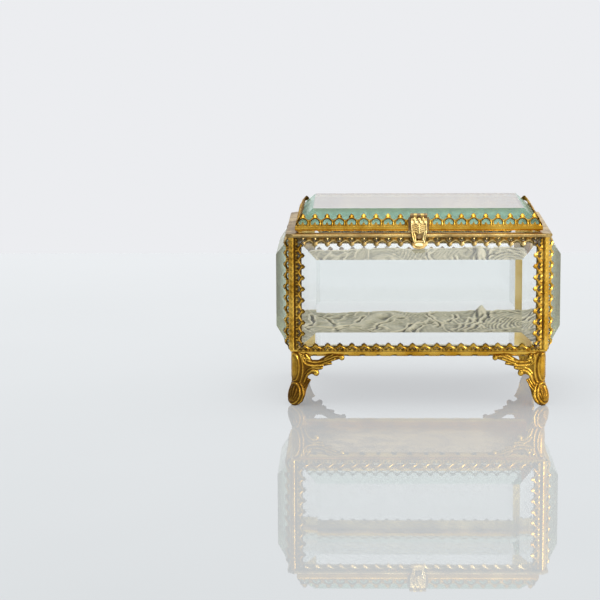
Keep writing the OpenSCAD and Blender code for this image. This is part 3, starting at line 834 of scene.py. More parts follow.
def inside(points, loop):
    """Which points lie inside a closed loop."""
    x, y = points[:, 0][:, None], points[:, 1][:, None]
    x1, y1 = loop[:, 0], loop[:, 1]
    x2, y2 = np.roll(x1, -1), np.roll(y1, -1)
    spans = (y1 > y) != (y2 > y)
    cross = x1 + (y - y1) * (x2 - x1) / np.where(y2 == y1, 1e-9, y2 - y1)
    return (spans & (x < cross)).sum(axis=1) % 2 == 1


def line_distance(points, line):
    """Distance of each point to a line of straight pieces."""
    best = np.full(len(points), 1e9)
    for a, b in zip(line[:-1], line[1:]):
        way = b - a
        share = np.clip(((points - a) @ way) / max(way @ way, 1e-12), 0, 1)
        best = np.minimum(best, np.linalg.norm(points - a - share[:, None] * way, axis=1))
    return best


ROW_SHARE = 0.87
EDGE_SHARE = 0.55


def blank(loops, step):
    """Flat triangles inside the first loop and outside the others, with small even sides."""
    outline = spaced(loops[0], step)
    holes = [spaced(loop, step) for loop in loops[1:]]
    low, high = outline.min(axis=0), outline.max(axis=0)
    rows = np.arange(low[1], high[1], step * ROW_SHARE)
    net = np.array([(x + (step / 2 if k % 2 else 0), y) for k, y in enumerate(rows)
                    for x in np.arange(low[0], high[0], step)])
    keep = inside(net, outline)
    for loop in [outline] + holes:
        keep &= line_distance(net, np.vstack([loop, loop[:1]])) > step * EDGE_SHARE
    for loop in holes:
        keep &= ~inside(net, loop)
    points, edges = [], []
    for loop in [outline] + holes:
        first = len(points)
        points += [Vector(p) for p in loop]
        edges += [(first + k, first + (k + 1) % len(loop)) for k in range(len(loop))]
    points += [Vector(p) for p in net[keep]]
    flat, _, faces, *_ = geometry.delaunay_2d_cdt(points, edges, [], 1, 1e-6)
    flat = np.array([tuple(p) for p in flat])
    faces = np.array([f for f in faces if len(f) == 3])
    middle = flat[faces].mean(axis=1)
    for loop in holes:
        inner = inside(middle, loop)
        faces, middle = faces[~inner], middle[~inner]
    return flat, faces


def struck(flat, ribs, domes):
    """Height of the relief: ribs are (line, half width, height), domes (x, y, rx, ry, height)."""
    folded = np.abs(flat[:, 0])[:, None] * (1, 0) + flat * (0, 1)
    height = np.zeros(len(flat))
    for line, half, rise in ribs:
        away = line_distance(folded, smooth_line(line)) / half
        height = np.maximum(height, rise * np.cos(np.clip(away, 0, 1) * math.pi / 2) ** 1.3)
    for x, y, rx, ry, rise in domes:
        away = ((folded[:, 0] - x) / rx) ** 2 + ((folded[:, 1] - y) / ry) ** 2
        height = np.maximum(height, rise * np.sqrt(np.clip(1 - away, 0, 1)))
    return height


def both_halves(half):
    """A closed outline from its right-hand half, which starts and ends on the middle line."""
    half = np.array(half)
    return np.vstack([half, (half[1:-1] * (-1, 1))[::-1]])


BACK_FOLLOWS = 0.6


def sheet_shell(name, loops, step, ribs, domes, bend, thick):
    """The struck and bent sheet as a closed shell. bend gives the outer surface and its way out."""
    flat, faces = blank(loops, step)
    height = struck(flat, ribs, domes)
    print(name, "blank:", len(faces), "triangles a face")
    place, way = bend(flat)
    outer = place + way * height[:, None]
    inner = place - way * (thick - BACK_FOLLOWS * height[:, None])
    n = len(flat)
    a, b, c = (outer[faces[:, k]] for k in range(3))
    turned_in = (np.cross(b - a, c - a) * way[faces[:, 0]]).sum(axis=1) < 0
    faces = np.where(turned_in[:, None], faces[:, ::-1], faces)
    sides = np.concatenate([faces[:, [0, 1]], faces[:, [1, 2]], faces[:, [2, 0]]])
    known = {tuple(s) for s in sides.tolist()}
    rim = [(i, j) for i, j in known if (j, i) not in known]
    walls = [(j, i, i + n, j + n) for i, j in rim]
    all_faces = faces.tolist() + (faces[:, ::-1] + n).tolist() + walls
    top = max(height.max(), 1e-6)
    relief = np.concatenate([np.clip(height / top, 0, 1), np.full(n, 0.3)])
    return as_mesh(name, np.vstack([outer, inner]), all_faces, relief)


# %% [markdown]
# ## Feet
# One foot is a single stamping, bent round the corner: a smooth oval boss on the leg, a
# shell-like hoof that swells forward below it, and on each side an arm of leaves and scrolls
# under the bar. It is drawn flat, half of it, with the distance from the corner's middle
# across and the height up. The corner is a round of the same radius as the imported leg, and
# the hoof is pushed out along the corner's diagonal.

# %% Drawing of half a foot
def knob(x, y, radius, end):
    """The rounded end of a scroll, from below to its end angle."""
    return [(x + radius * math.cos(t), y + radius * math.sin(t))
            for t in np.radians(np.arange(-150, end, 22))]


FOOT_HALF = [(0, 0), (1.6, 0), (3.2, 0.55), (4.6, 1.9), (5.4, 4.2), (5.9, 7.4), (6.8, 9.9), (7.9, 11.7),
             (6.3, 12.6), (6.5, 13.5), (8.0, 14.4)]
FOOT_BALL = knob(10.2, 14.75, 1.35, 45)
FOOT_ARM = [(11.2, 16.2), (12.3, 16.3), (13.3, 16.9), (13.3, 17.9), (15.2, 18.3), (17.4, 18.7),
            (17.0, 20.0), (18.8, 20.6)]
FOOT_CURL = knob(21.7, 21.8, 1.25, 75)
FOOT_TOP = [(20.0, 23.0), (17.6, 23.5), (15.2, 23.2), (13.2, 21.9), (11.2, 20.8), (8.4, 20.8), (7.7, 21.9),
            (7.0, 23.0), (5.7, 23.9), (4.4, 23.3), (2.8, 24.0), (1.2, 24.5), (0, 24.6)]
FOOT_LOOP = both_halves(FOOT_HALF + FOOT_BALL + FOOT_ARM + FOOT_CURL + FOOT_TOP)

oval = [(2.45 * math.sin(t), 17.4 + 6.3 * math.cos(t)) for t in np.linspace(0, math.pi, 15)]
FOOT_RIBS = [
    (oval, 0.55, 0.55),
    ([(2.6, 24.2), (3.5, 22), (4.0, 19), (4.1, 16), (3.7, 13), (2.6, 10.6)], 0.6, 0.5),
    ([(0, 10.2), (1.5, 9.8), (2.9, 7.8), (3.5, 5.2), (2.8, 2.6), (1.3, 1.2), (0, 0.9)], 0.5, 0.5),
    ([(3.1, 9.6), (4.4, 7.4), (4.8, 5), (4.2, 2.6), (3, 1.2)], 0.55, 0.45),
    ([(0.15, 2.2), (0.5, 5), (0.5, 8.8)], 0.32, 0.35),
    ([(0.5, 2.3), (1.4, 4.8), (1.7, 7.6)], 0.32, 0.35),
    ([(0.8, 2.2), (2.0, 4.0), (2.6, 5.6)], 0.3, 0.33),
    ([(4.9, 7.4), (6.2, 9.6), (7.5, 11.5)], 0.42, 0.45),
    ([(4.4, 8.4), (5.4, 10.4), (6.5, 12.1)], 0.4, 0.42),
    ([(3.9, 9.6), (4.6, 11.4), (5.4, 12.9)], 0.4, 0.4),
    ([(10.4, 15.6), (8.6, 16.0), (6.8, 15.1), (5.5, 13.2), (4.7, 10.9)], 0.62, 0.6),
    ([(11.2, 16.6), (8.8, 17.3), (6.6, 16.6), (5.1, 14.6)], 0.42, 0.42),
    ([(4.3, 23.0), (3.9, 21.2), (4.8, 19.3), (7.0, 18.2), (10.6, 18.1), (13.2, 18.4)], 0.6, 0.58),
    ([(13.0, 17.2), (10.4, 17.0), (8.2, 17.5)], 0.4, 0.4),
    ([(21.4, 22.4), (18.6, 22.6), (15.6, 21.2), (12.4, 19.9), (8.8, 19.6), (6.4, 20.4)], 0.5, 0.55),
    ([(18.6, 21.2), (16.0, 20.2), (12.8, 19.0)], 0.42, 0.45), ([(17.0, 19.2), (14.6, 19.0)], 0.4, 0.4),
    ([(17.4, 23.1), (15.6, 22.4), (13.8, 21.1)], 0.4, 0.4),
    ([(5.6, 23.4), (6.4, 22.2), (7.2, 21.0)], 0.5, 0.5),
    ([(4.7, 21.8), (5.6, 20.8), (5.2, 19.9)], 0.45, 0.45),
]
FOOT_DOMES = [(0, 17.4, 2.1, 5.9, 0.5), (10.2, 14.75, 1.15, 1.15, 0.65), (21.7, 21.8, 1.05, 1.05, 0.65),
              (12.6, 17.1, 0.7, 0.5, 0.45), (6.1, 21.6, 0.7, 0.7, 0.5), (3.3, 23.3, 0.7, 0.5, 0.45)]
print("foot:", len(FOOT_LOOP), "outline points,", len(FOOT_RIBS), "ribs,", len(FOOT_DOMES), "domes")

# %% [markdown]
# The drawing is bent in two moves. It goes round the corner first, each point by its distance
# from the middle line. Then the hoof is pushed out along the diagonal and spread a little, by
# amounts that are read off against the height and fade out before the arms begin.

# %% Bend the foot and set it on its corners
FOOT_IN = 0.4
FOOT_ROUND = 2.6
HOOF_UP = [0, 2, 4, 6.5, 9, 11, 13.5]
HOOF_PUSH = [0.9, 1.8, 1.85, 1.35, 0.3, -0.25, 0]
HOOF_REACH = 9.5
HOOF_FADE = 6.5
ROOT_2 = math.sqrt(2)


def bend_foot(flat):
    """Flat foot to the front left corner: round the corner, then the hoof pushed forward."""
    across, up = flat[:, 0], flat[:, 1]
    half = np.abs(across)
    curve = FOOT_ROUND * math.pi / 4
    turn = np.minimum(half, curve) / FOOT_ROUND
    beyond = np.maximum(half - curve, 0)
    angle = np.radians(225) + turn
    middle = FOOT_IN + FOOT_ROUND
    x = middle + FOOT_ROUND * np.cos(angle) + beyond
    y = middle + FOOT_ROUND * np.sin(angle)
    way = np.stack([np.cos(angle), np.sin(angle)], axis=1)
    out, over = -(x + y) / ROOT_2, (x - y) / ROOT_2
    near = np.clip((HOOF_REACH - half) / HOOF_FADE, 0, 1)
    near = near * near * (3 - 2 * near)
    out += np.interp(up, HOOF_UP, HOOF_PUSH) * near
    over *= 1 + np.interp(up, [0, 2, 5, 8, 11], [-0.08, 0.2, 0.26, 0.14, 0]) * near
    x, y = (over - out) / ROOT_2, (-over - out) / ROOT_2
    tip = np.interp(up, HOOF_UP, np.gradient(np.array(HOOF_PUSH), HOOF_UP)) * near
    right = across >= 0
    place = np.stack([np.where(right, x, y) - HALF_W, np.where(right, y, x) - HALF_D, up], axis=1)
    way = np.stack([np.where(right, *way.T), np.where(right, *way.T[::-1]), -0.7 * tip], axis=1)
    return place, way / np.linalg.norm(way, axis=1)[:, None]


foot = sheet_shell("foot", [FOOT_LOOP], 0.3, FOOT_RIBS, FOOT_DOMES, bend_foot, SHEET_T)
for corner, (sx, sy) in CORNERS.items():
    hand_over(corner + "_stamped_foot", mirrored(foot, sx, sy), foot_gilt, "case",
              [corner + "_foot"], crease=60)

# %% [markdown]
# ## The hasp
# The hasp is struck from the same sheet as the feet: rows of scales near its knuckles, a
# leaf with a midrib that ends over the slot, and two stems that run down beside the slot to
# the finger tab. Its side view is a bent line, and each point of the flat strap finds its
# place by its distance down that line. Two rolled knuckles hang it on its pin.

# %% Drawing, bend and knuckles of the hasp
HASP_BEND = smooth_line([(38.5, 85.8), (39.3, 83.8), (42.4, 79.2), (42.75, 75.8), (43.4, 74.2),
                         (44.9, 72.0)])
HASP_WAY = distance_down(HASP_BEND)
HASP_AXIS = (-38.0, 86.0)
HASP_LIFT = 0.2
HASP_SHEET = 0.45
KNUCKLE_R, KNUCKLE_BORE = 0.9, 0.45
KNUCKLE_ENDS = [(-2.2, -0.8), (0.8, 2.2)]
HASP_LOOP = both_halves([
    (0, 1.1), (0.82, 1.1), (0.82, 0.5), (2.18, 0.5), (2.18, 1.1), (3.6, 1.1), (3.68, 2.4), (3.62, 4.6),
    (3.68, 7.2), (3.2, 9.6), (2.85, 11.4), (2.62, 12.5), (2.9, 13.3), (2.75, 14.3), (2.2, 15.2), (0, 15.5)])
HASP_SLOT = np.array([(-1.25, 9.5), (-0.9, 8.9), (0, 8.75), (0.9, 8.9), (1.25, 9.5), (1.25, 11.2),
                      (0.9, 11.5), (-0.9, 11.5), (-1.25, 11.2)])
HASP_RIBS = [([(0, 3.6), (0, 8.5)], 0.32, 0.3),
             ([(3.3, 1.5), (3.35, 7.0), (2.75, 10.2), (2.2, 12.4)], 0.4, 0.3),
             ([(2.7, 7.4), (1.9, 9.2), (1.75, 11.6)], 0.35, 0.26), ([(2.0, 12.3), (0, 12.0)], 0.35, 0.22)]
HASP_RIBS += [([(0, t), (1.3, t - 0.75), (2.7, t - 1.0)], 0.28, 0.24) for t in np.arange(4.6, 8.6, 0.95)]
HASP_DOMES = [(x, 1.75, 0.95, 1.25, 0.32) for x in (0, 2.1)] + [(x, 3.3, 0.85, 1.1, 0.28) for x in (1.1, 3.0)]
HASP_DOMES += [(0, 13.7, 2.0, 1.2, 0.2)]


def bend_hasp(flat):
    """Flat strap to its side view: x stays across, y is the distance down the bent line."""
    slope = np.gradient(HASP_BEND, HASP_WAY, axis=0)
    out, up, run, fall = (np.interp(flat[:, 1], HASP_WAY, line)
                          for line in (*HASP_BEND.T, *slope.T))
    size = np.hypot(run, fall)
    way = np.stack([np.zeros(len(flat)), fall / size, run / size], axis=1)
    return np.stack([flat[:, 0], -out, up], axis=1) + HASP_LIFT * way, way


def knuckle(start, end, sides=28):
    """A sleeve round the pin, between two places along X."""
    turns = np.linspace(0, 2 * math.pi, sides, endpoint=False)
    rings = ((start, KNUCKLE_R), (end, KNUCKLE_R), (end, KNUCKLE_BORE), (start, KNUCKLE_BORE))
    points = [(x, HASP_AXIS[0] + r * math.cos(a), HASP_AXIS[1] + r * math.sin(a))
              for x, r in rings for a in turns]
    faces = [(k * sides + i, k * sides + (i + 1) % sides, (k + 1) % 4 * sides + (i + 1) % sides,
              (k + 1) % 4 * sides + i) for k in range(4) for i in range(sides)]
    return outward(as_mesh("knuckle", points, faces, [PLAIN_CREST] * len(points)))


strap = sheet_shell("hasp", [HASP_LOOP, HASP_SLOT], 0.2, HASP_RIBS, HASP_DOMES, bend_hasp, HASP_SHEET)
knuckles = [knuckle(*ends) for ends in KNUCKLE_ENDS]
hand_over("stamped_hasp", joined("hasp", [strap] + knuckles), hasp_gilt, "hasp",
          ["hasp_strap"], crease=50)

# %% [markdown]
# ## The silk pad
# The floor of the box is a card with wadding on it, under silk that was cut too large and
# gathered to fit. Such silk has no folds of its own: they appear where the spare length has to
# go. So the sheet is simulated. It lies on the wadding, its border is held where it is glued
# down, and its threads are let out by a tenth, and by up to a fifth towards the right-hand
# end, where the photograph shows the finest pleats. First comes the wadding: a crown that
# rises towards the back, with a few swells and one dip of its own.

# %% Wadding under the silk
PAD_LOW = node_box("silk_pad")[0][2]
PAD_W, PAD_D = node_box("silk_pad")[1][:2] - (0.3, 0.3)
EDGE_ROUND = 2.4
BACK_ROUND = 1.2
CROWN = [(-37, 28.2), (-33, 28.4), (-15, 28.9), (5, 29.6), (25, 30.5), (34, 31.2), (37, 31.0)]
# Height, then place and reach across, then place and reach in depth
SWELLS = [(1.3, -16, 8, 18, 12), (2.9, 31.5, 1.8, 29, 5), (-0.7, 2, 7, 28, 12)]


def wadding(x, y):
    """Height of the wadding: low in front, fuller at the back, rounded off at the edges."""
    to_side = (PAD_W - np.abs(x)) / EDGE_ROUND
    to_front = (PAD_D - np.abs(y)) / np.where(y > 0, BACK_ROUND, EDGE_ROUND)
    edge = np.clip(np.minimum(to_side, to_front), 0, 1)
    crown = np.interp(y, *zip(*CROWN))
    crown -= np.interp(x, [-30, -22, 30, 40], [1.5, 0.9, 0.6, 0.2]) * np.clip(y / 25, 0, 1)
    for height, at_x, wide, at_y, deep in SWELLS:
        crown += height * np.exp(-((x - at_x) / wide) ** 2 - ((y - at_y) / deep) ** 2)
    return PAD_LOW + 0.15 + (crown - PAD_LOW) * (1 - (1 - edge) ** 2)


print("wadding, mm:", 2 * PAD_W, "by", 2 * PAD_D, "from z", PAD_LOW)

# %% [markdown]
# The cloth solver makes small ripples by itself, but where its large folds fall is chance. The
# folds that the photograph shows are therefore drawn as lines first, and shorter ones are
# scattered between them with a fixed seed. The fine pleats are a wave round a point near the
# right-hand end. All of it is shallow, and the simulation turns it into cloth.

# %% Folds, creases and pleats before the cloth settles
FOLDS = [
    # a line over the card, half width, height; a crease has a negative height
    ([(-46, 30), (-41, 22), (-38, 6), (-36, -12)], 1.1, -0.7),
    ([(-43, 34), (-40, 30), (-34, 28)], 2.0, 1.0),
    ([(-52, 6), (-44, 0), (-34.5, -3), (-30, 4), (-25.5, 16), (-24.5, 24)], 1.3, -1.5),
    ([(-28, -5), (-23, 8), (-16, 26), (-10, 27), (-7, 16)], 3.4, 1.5),
    ([(-21, -12), (-18, 2), (-11, 14)], 1.0, -0.7),
    ([(-4.5, -15), (-1.5, 0), (2.5, 8), (7, 15), (9, 26)], 1.1, 0.9),
    ([(-6.6, -14), (-3.7, 0), (0.2, 9), (4.5, 17)], 0.8, -0.7),
    ([(-2.5, -16), (0.8, -2), (5, 6), (9.5, 13)], 0.8, -0.7),
    ([(6, 30), (7, 22), (10, 10), (13, -2)], 0.9, -1.1),
    ([(8, -4), (12, 6), (18, 18), (20, 28)], 0.9, -1.1),
    ([(16, -12), (20, 0), (27, 20), (31, 34)], 0.8, 0.7),
    ([(19, -13), (23, 0), (29.5, 20), (32.5, 34)], 0.8, 0.8),
    ([(22, -13), (26, 0), (32, 20), (34, 33)], 0.8, 0.7),
    ([(24, -12), (28, 0), (33.5, 18), (35.5, 30)], 0.6, -0.9),
    ([(-14, -16), (-9, -10), (-3, -9)], 1.2, -0.8),
    ([(28, -15), (36, -9), (44, -13)], 1.1, -0.8),
]
SMALL_FOLDS = 60
SEED = 11


def small_folds():
    """Short crooked folds scattered over the pad, the same on each run: line, half width, height."""
    draw = np.random.default_rng(SEED)
    for _ in range(SMALL_FOLDS):
        x, y = draw.uniform(-PAD_W + 4, PAD_W - 4), draw.uniform(-PAD_D + 4, PAD_D - 3)
        turn = math.pi / 2 + 0.8 * math.sin(x / 13 + 1) + draw.normal(0, 0.5)
        half, bow = draw.uniform(2.5, 7), draw.uniform(-2, 2)
        run, rise = math.cos(turn), math.sin(turn)
        line = [(x - half * run, y - half * rise), (x - bow * rise, y + bow * run),
                (x + half * run, y + half * rise)]
        yield line, draw.uniform(0.8, 1.8), draw.choice([-1, 1]) * draw.uniform(0.3, 0.75)


PLEAT_PITCH = 1.9
PLEAT_HEIGHT = 0.17
BROAD_HEIGHT = 0.14
FOLD_END = 2.5


def pleat_phase(x, y):
    """Turns of fine pleating: nested arcs round a point near the right-hand end."""
    wander = 0.8 * np.sin(y / 4.1) + 0.6 * np.sin(x / 3.3 + y / 6.1) + 1.3 * np.sin(x / 9.7 - y / 7.3)
    return (np.hypot(x - 50, (y - 6) * 0.75) + wander) / PLEAT_PITCH


def pleat_share(x, y):
    """Where the pleating shows: hardly at the left, fully towards the right."""
    patches = 0.5 + 0.5 * np.sin(x / 4.3 + 1.4 * np.sin(y / 6)) * np.sin(y / 5.2 + x / 9)
    bare = np.interp(x, [24, 34], [0.9, 0.35])
    return np.interp(x, [-40, -5, 12, 36], [0.05, 0.2, 0.5, 0.9]) * (1 - bare * (1 - patches ** 2))


def first_creases(x, y):
    """The drawn folds and faint waves, from which the cloth settles."""
    flat = np.stack([x + 0.5 * np.sin(y / 1.9), y + 0.5 * np.sin(x / 2.3)], axis=-1).reshape(-1, 2)
    height = np.zeros(len(flat))
    for line, half, rise in FOLDS + list(small_folds()):
        away = line_distance(flat, smooth_line(line)) / half
        to_end = np.minimum(*(np.linalg.norm(flat - np.array(line[k]), axis=1) for k in (0, -1)))
        height += rise * np.exp(-away ** 2) * (1 - np.exp(-(to_end / FOLD_END) ** 2))
    broad = np.sin((x * 0.9 + y * 0.5) / 2.6 + 1.3 * np.sin(y / 7)) + 0.7 * np.sin((x * 0.2 - y) / 2.3)
    fine = np.sin(2 * math.pi * pleat_phase(x, y))
    return height.reshape(x.shape) + BROAD_HEIGHT * broad + PLEAT_HEIGHT * pleat_share(x, y) * fine


print("silk:", len(FOLDS), "drawn folds and", SMALL_FOLDS, "small ones")

# %% [markdown]
# Two grids go into the simulation: the sheet, and a copy of it a little lower that it can't
# sink through. It runs a hundred times larger than life, because cloth solvers are tuned for
# cloth of that size. A negative shrink lets the threads out, and a vertex group says by how
# much at each place. The border is pinned with a second group.

# %% Let the sheet out over the wadding
SILK_COLUMNS, SILK_ROWS = 190, 128
SIM_SCALE = 0.1
SIM_FRAMES = 28
SIM_GAP = 0.02
CORE_DROP = 0.35
SPARE_FROM, SPARE_REACH = 5, 35
CLOTH = {
    "quality": 6, "mass": 0.25, "air_damping": 2, "tension_stiffness": 12, "compression_stiffness": 12,
    "shear_stiffness": 4, "bending_stiffness": 0.08, "vertex_group_mass": "held",
    "vertex_group_shrink": "spare", "shrink_min": -0.10, "shrink_max": -0.20,
}


def grid_faces(columns, rows):
    """Quads of a grid of points that is stored row by row."""
    index = np.arange(columns * rows).reshape(rows, columns)
    corners = [index[:-1, :-1], index[:-1, 1:], index[1:, 1:], index[1:, :-1]]
    return np.stack(corners, axis=-1).reshape(-1, 4).tolist()


def sim_object(name, points):
    """A grid of points, in millimetres, as an object of the simulation."""
    mesh = bpy.data.meshes.new(name)
    mesh.from_pydata((points.reshape(-1, 3) * SIM_SCALE).tolist(), [], grid_faces(SILK_COLUMNS, SILK_ROWS))
    return in_scene(name, mesh)


def ruched(points):
    """The sheet after its threads are let out, still held at its border."""
    core = sim_object("wadding", points - (0, 0, CORE_DROP))
    core.modifiers.new("collision", "COLLISION")
    core.collision.thickness_outer = SIM_GAP
    core.collision.cloth_friction = 12
    sheet = sim_object("sheet", points)
    index = np.arange(SILK_COLUMNS * SILK_ROWS).reshape(SILK_ROWS, SILK_COLUMNS)
    held = sheet.vertex_groups.new(name="held")
    edge = np.ones_like(index, bool)
    edge[1:-1, 1:-1] = False
    held.add(index[edge].tolist(), 1.0, "REPLACE")
    spare = sheet.vertex_groups.new(name="spare")
    share = np.round(np.clip((points[..., 0] - SPARE_FROM) / SPARE_REACH, 0, 1) * 10)
    for level in range(11):
        spare.add(index[share == level].tolist(), level / 10, "REPLACE")
    cloth = sheet.modifiers.new("cloth", "CLOTH")
    for key, value in CLOTH.items():
        setattr(cloth.settings, key, value)
    cloth.collision_settings.distance_min = SIM_GAP
    cloth.collision_settings.use_self_collision = False
    cloth.point_cache.frame_end = SIM_FRAMES
    for frame_number in range(1, SIM_FRAMES + 1):
        bpy.context.scene.frame_set(frame_number)
    done = sheet.evaluated_get(bpy.context.evaluated_depsgraph_get())
    result = np.empty(len(done.data.vertices) * 3)
    done.data.vertices.foreach_get("co", result)
    bpy.context.scene.frame_set(1)
    for holder in (sheet, core):
        mesh = holder.data
        bpy.data.objects.remove(holder)
        bpy.data.meshes.remove(mesh)
    return result.reshape(SILK_ROWS, SILK_COLUMNS, 3) / SIM_SCALE


# %% [markdown]
# The simulated sheet is only the top of the pad. It is refined once, its hollows and crests
# are noted for the material's painted shade and highlights, and a wall and an underside close
# it to a solid.

# %% Close the sheet to a pad
FOLD_LIMIT = 2.4
SINK_LIMIT = -1.6
RIM_FADE = 1.5
HOLLOW_REACH = 6
RELIEF_RANGE = 0.75


def refined(grid):
    """One step of smooth subdivision on a grid of points, its border kept in place."""
    for axis in (0, 1):
        old = np.moveaxis(grid, axis, 0)
        new = np.empty((2 * len(old) - 1,) + old.shape[1:])
        new[::2] = old
        new[2:-2:2] = 0.125 * old[:-2] + 0.75 * old[1:-1] + 0.125 * old[2:]
        new[1::2] = 0.5 * (old[:-1] + old[1:])
        grid = np.moveaxis(new, 0, axis)
    return grid


def silk_top():
    """The settled sheet over its wadding, held inside the box's walls."""
    x, y = np.meshgrid(np.linspace(-PAD_W, PAD_W, SILK_COLUMNS), np.linspace(-PAD_D, PAD_D, SILK_ROWS))
    rise = np.clip(np.minimum(PAD_W - np.abs(x), PAD_D - np.abs(y)) / RIM_FADE, 0, 1)
    floor = wadding(x, y)
    drawn = np.stack([x, y, floor + first_creases(x, y) * rise], axis=-1)
    top = ruched(drawn)
    stands = top[..., 2] - floor
    print("silk stands over its wadding, mm:", np.round(stands.min(), 2), "to", np.round(stands.max(), 2))
    top[..., 2] = floor + FOLD_LIMIT * np.tanh(np.maximum(stands, SINK_LIMIT) / FOLD_LIMIT)
    top[..., 0] = np.clip(top[..., 0], -PAD_W, PAD_W)
    top[..., 1] = np.clip(top[..., 1], -PAD_D, PAD_D)
    return refined(top)


def silk_pad():
    """The sheet with a wall and an underside, and what its material reads."""
    top = silk_top()
    rows, columns = top.shape[:2]
    around = top[..., 2].copy()
    steps = range(-HOLLOW_REACH, HOLLOW_REACH + 1)
    for axis in (0, 1):
        around = sum(np.roll(around, k, axis=axis) for k in steps) / len(steps)
    # Height over the local mean: the silk's colour is darker in the hollows, painted shade, and lighter on
    # the crests, painted highlight.
    relief = np.clip(0.5 + (top[..., 2] - around) / RELIEF_RANGE, 0, 1)
    index = np.arange(rows * columns).reshape(rows, columns)
    rim = np.concatenate([index[0, :-1], index[:-1, -1], index[-1, :0:-1], index[:0:-1, 0]]).tolist()
    points = top.reshape(-1, 3)
    under = points[rim] * (1, 1, 0) + (0, 0, PAD_LOW)
    n, first = len(rim), len(points)
    faces = grid_faces(columns, rows)
    faces += [(rim[(k + 1) % n], rim[k], first + k, first + (k + 1) % n) for k in range(n)]
    faces += [tuple(range(first + n - 1, first - 1, -1))]
    mesh = as_mesh("silk", np.vstack([points, under]), faces, np.append(relief.ravel(), np.full(n, 0.4)))
    for label, field in (("pleat", pleat_phase), ("share", pleat_share)):
        note(mesh, label, np.append(field(points[:, 0], points[:, 1]), np.zeros(n)))
    return mesh


# %% [markdown]
# Old silk has a soft sheen. Its colour is painted yellower on the crests and greyer in the
# folds, as painted highlight and painted shade of the folds, with real stains mixed in. The fine
# pleats are painted as light and dark lines as well as bumped. The weave is too fine to see,
# so it only breaks up the highlight, with a bump drawn out along one thread direction.

# %% Silk and card
# Painted shade and highlight: from near black-brown in the deepest folds to pale straw on the crests.
SILK_SHADED_TONES = [(0.12, (0.045, 0.035, 0.016)), (0.38, (0.24, 0.205, 0.115)),
              (0.55, (0.46, 0.40, 0.255)), (0.84, (0.78, 0.675, 0.48))]
RIDGE_SHARE = 0.14


def silk_finish():
    """Silk with painted shade in its hollows and painted highlights on its crests, fine ridges that are
    bumped and painted light and dark, stains and a weave.
    """
    material, tree, shader, _ = new_material("silk")
    where = add_node(tree, "ShaderNodeTexCoord").outputs["Object"]
    crest, pleat, share = (add_node(tree, "ShaderNodeAttribute", attribute_name=label).outputs["Fac"]
                           for label in ("relief", "pleat", "share"))
    ridge = maths(tree, "SINE", maths(tree, "MULTIPLY", pleat, 2 * math.pi))
    fine = maths(tree, "MULTIPLY", maths(tree, "MULTIPLY", ridge, share), RIDGE_SHARE)
    stain = maths(tree, "MULTIPLY", noise(tree, where, 60, 4), 0.3)
    shade_and_stain = maths(tree, "ADD", maths(tree, "MULTIPLY", crest, 0.8), stain)
    thread = add_node(tree, "ShaderNodeMapping", {"Vector": where, "Scale": (1500, 6000, 3000)})
    weave = maths(tree, "MULTIPLY", noise(tree, thread.outputs[0], 1.0, 2), 0.25)
    raised = maths(tree, "ADD", weave, fine)
    bump = add_node(tree, "ShaderNodeBump", {"Height": raised, "Strength": 0.8, "Distance": 0.0003})
    # The pleat ridges go into the colour as well as the bump: painted light and dark lines.
    fill(tree, shader, {
        "Base Color": ramp(tree, maths(tree, "ADD", shade_and_stain, fine), SILK_SHADED_TONES), "Roughness": 0.45,
        "Specular IOR Level": 0.25, "Sheen Weight": 0.25, "Sheen Roughness": 0.4,
        "Sheen Tint": (0.95, 0.92, 0.82, 1), "Normal": bump.outputs["Normal"]})
    return material


def card_finish():
    """Grey-brown pasteboard."""
    material, tree, shader, _ = new_material("card")
    where = add_node(tree, "ShaderNodeTexCoord").outputs["Object"]
    fibre = noise(tree, where, 700, 5)
    colour = ramp(tree, fibre, [(0.35, (0.22, 0.20, 0.16)), (0.65, (0.32, 0.29, 0.23))])
    fill(tree, shader, {"Base Color": colour, "Roughness": 0.85})
    return material


silk_piece = hand_over("ruched_silk", silk_pad(), silk_finish(), "case", ["silk_pad"], crease=180)
card_material = card_finish()

# %% [markdown]
# ## Light and table
# The box stands on a glossy white table before a pale wall. The wall is the world's colour,
# seen by the camera and through the glass. For reflections the world darkens towards the
# viewer and the left, as a room does behind a photographer, because gilding under an even
# white sky has nothing to reflect and looks like paint. Three soft lamps light the box. Light
# linking keeps them off the table, whose gloss would show their outlines, so the table gets
# its light from the world and a little from itself. They don't show through the glass either.

# %% Table and world
TABLE_HALF, TABLE_NEAR, TABLE_FAR = 2.0, -2.0, 0.449
TABLE_TONES = [(0.3, (0.51, 0.535, 0.53)), (0.7, (0.54, 0.565, 0.56))]
WALL_COLOUR = (0.838, 0.847, 0.871, 1)
SKY_LIGHT = 0.86


def make_table():
    """A glossy white sheet, 4 m wide, which ends behind the box."""
    mesh = bpy.data.meshes.new("table")
    mesh.from_pydata([(-TABLE_HALF, TABLE_NEAR, 0), (TABLE_HALF, TABLE_NEAR, 0),
                      (TABLE_HALF, TABLE_FAR, 0), (-TABLE_HALF, TABLE_FAR, 0)], [], [(0, 1, 2, 3)])
    material, tree, shader, _ = new_material("table")
    where = add_node(tree, "ShaderNodeTexCoord").outputs["Object"]
    fill(tree, shader, {"Base Color": ramp(tree, noise(tree, where, 6, 2), TABLE_TONES),
                        "Roughness": 0.015, "IOR": 1.62, "Emission Color": (0.95, 0.98, 1.0, 1),
                        "Emission Strength": 0.25})
    mesh.materials.append(material)
    table = in_scene("table", mesh)
    return table


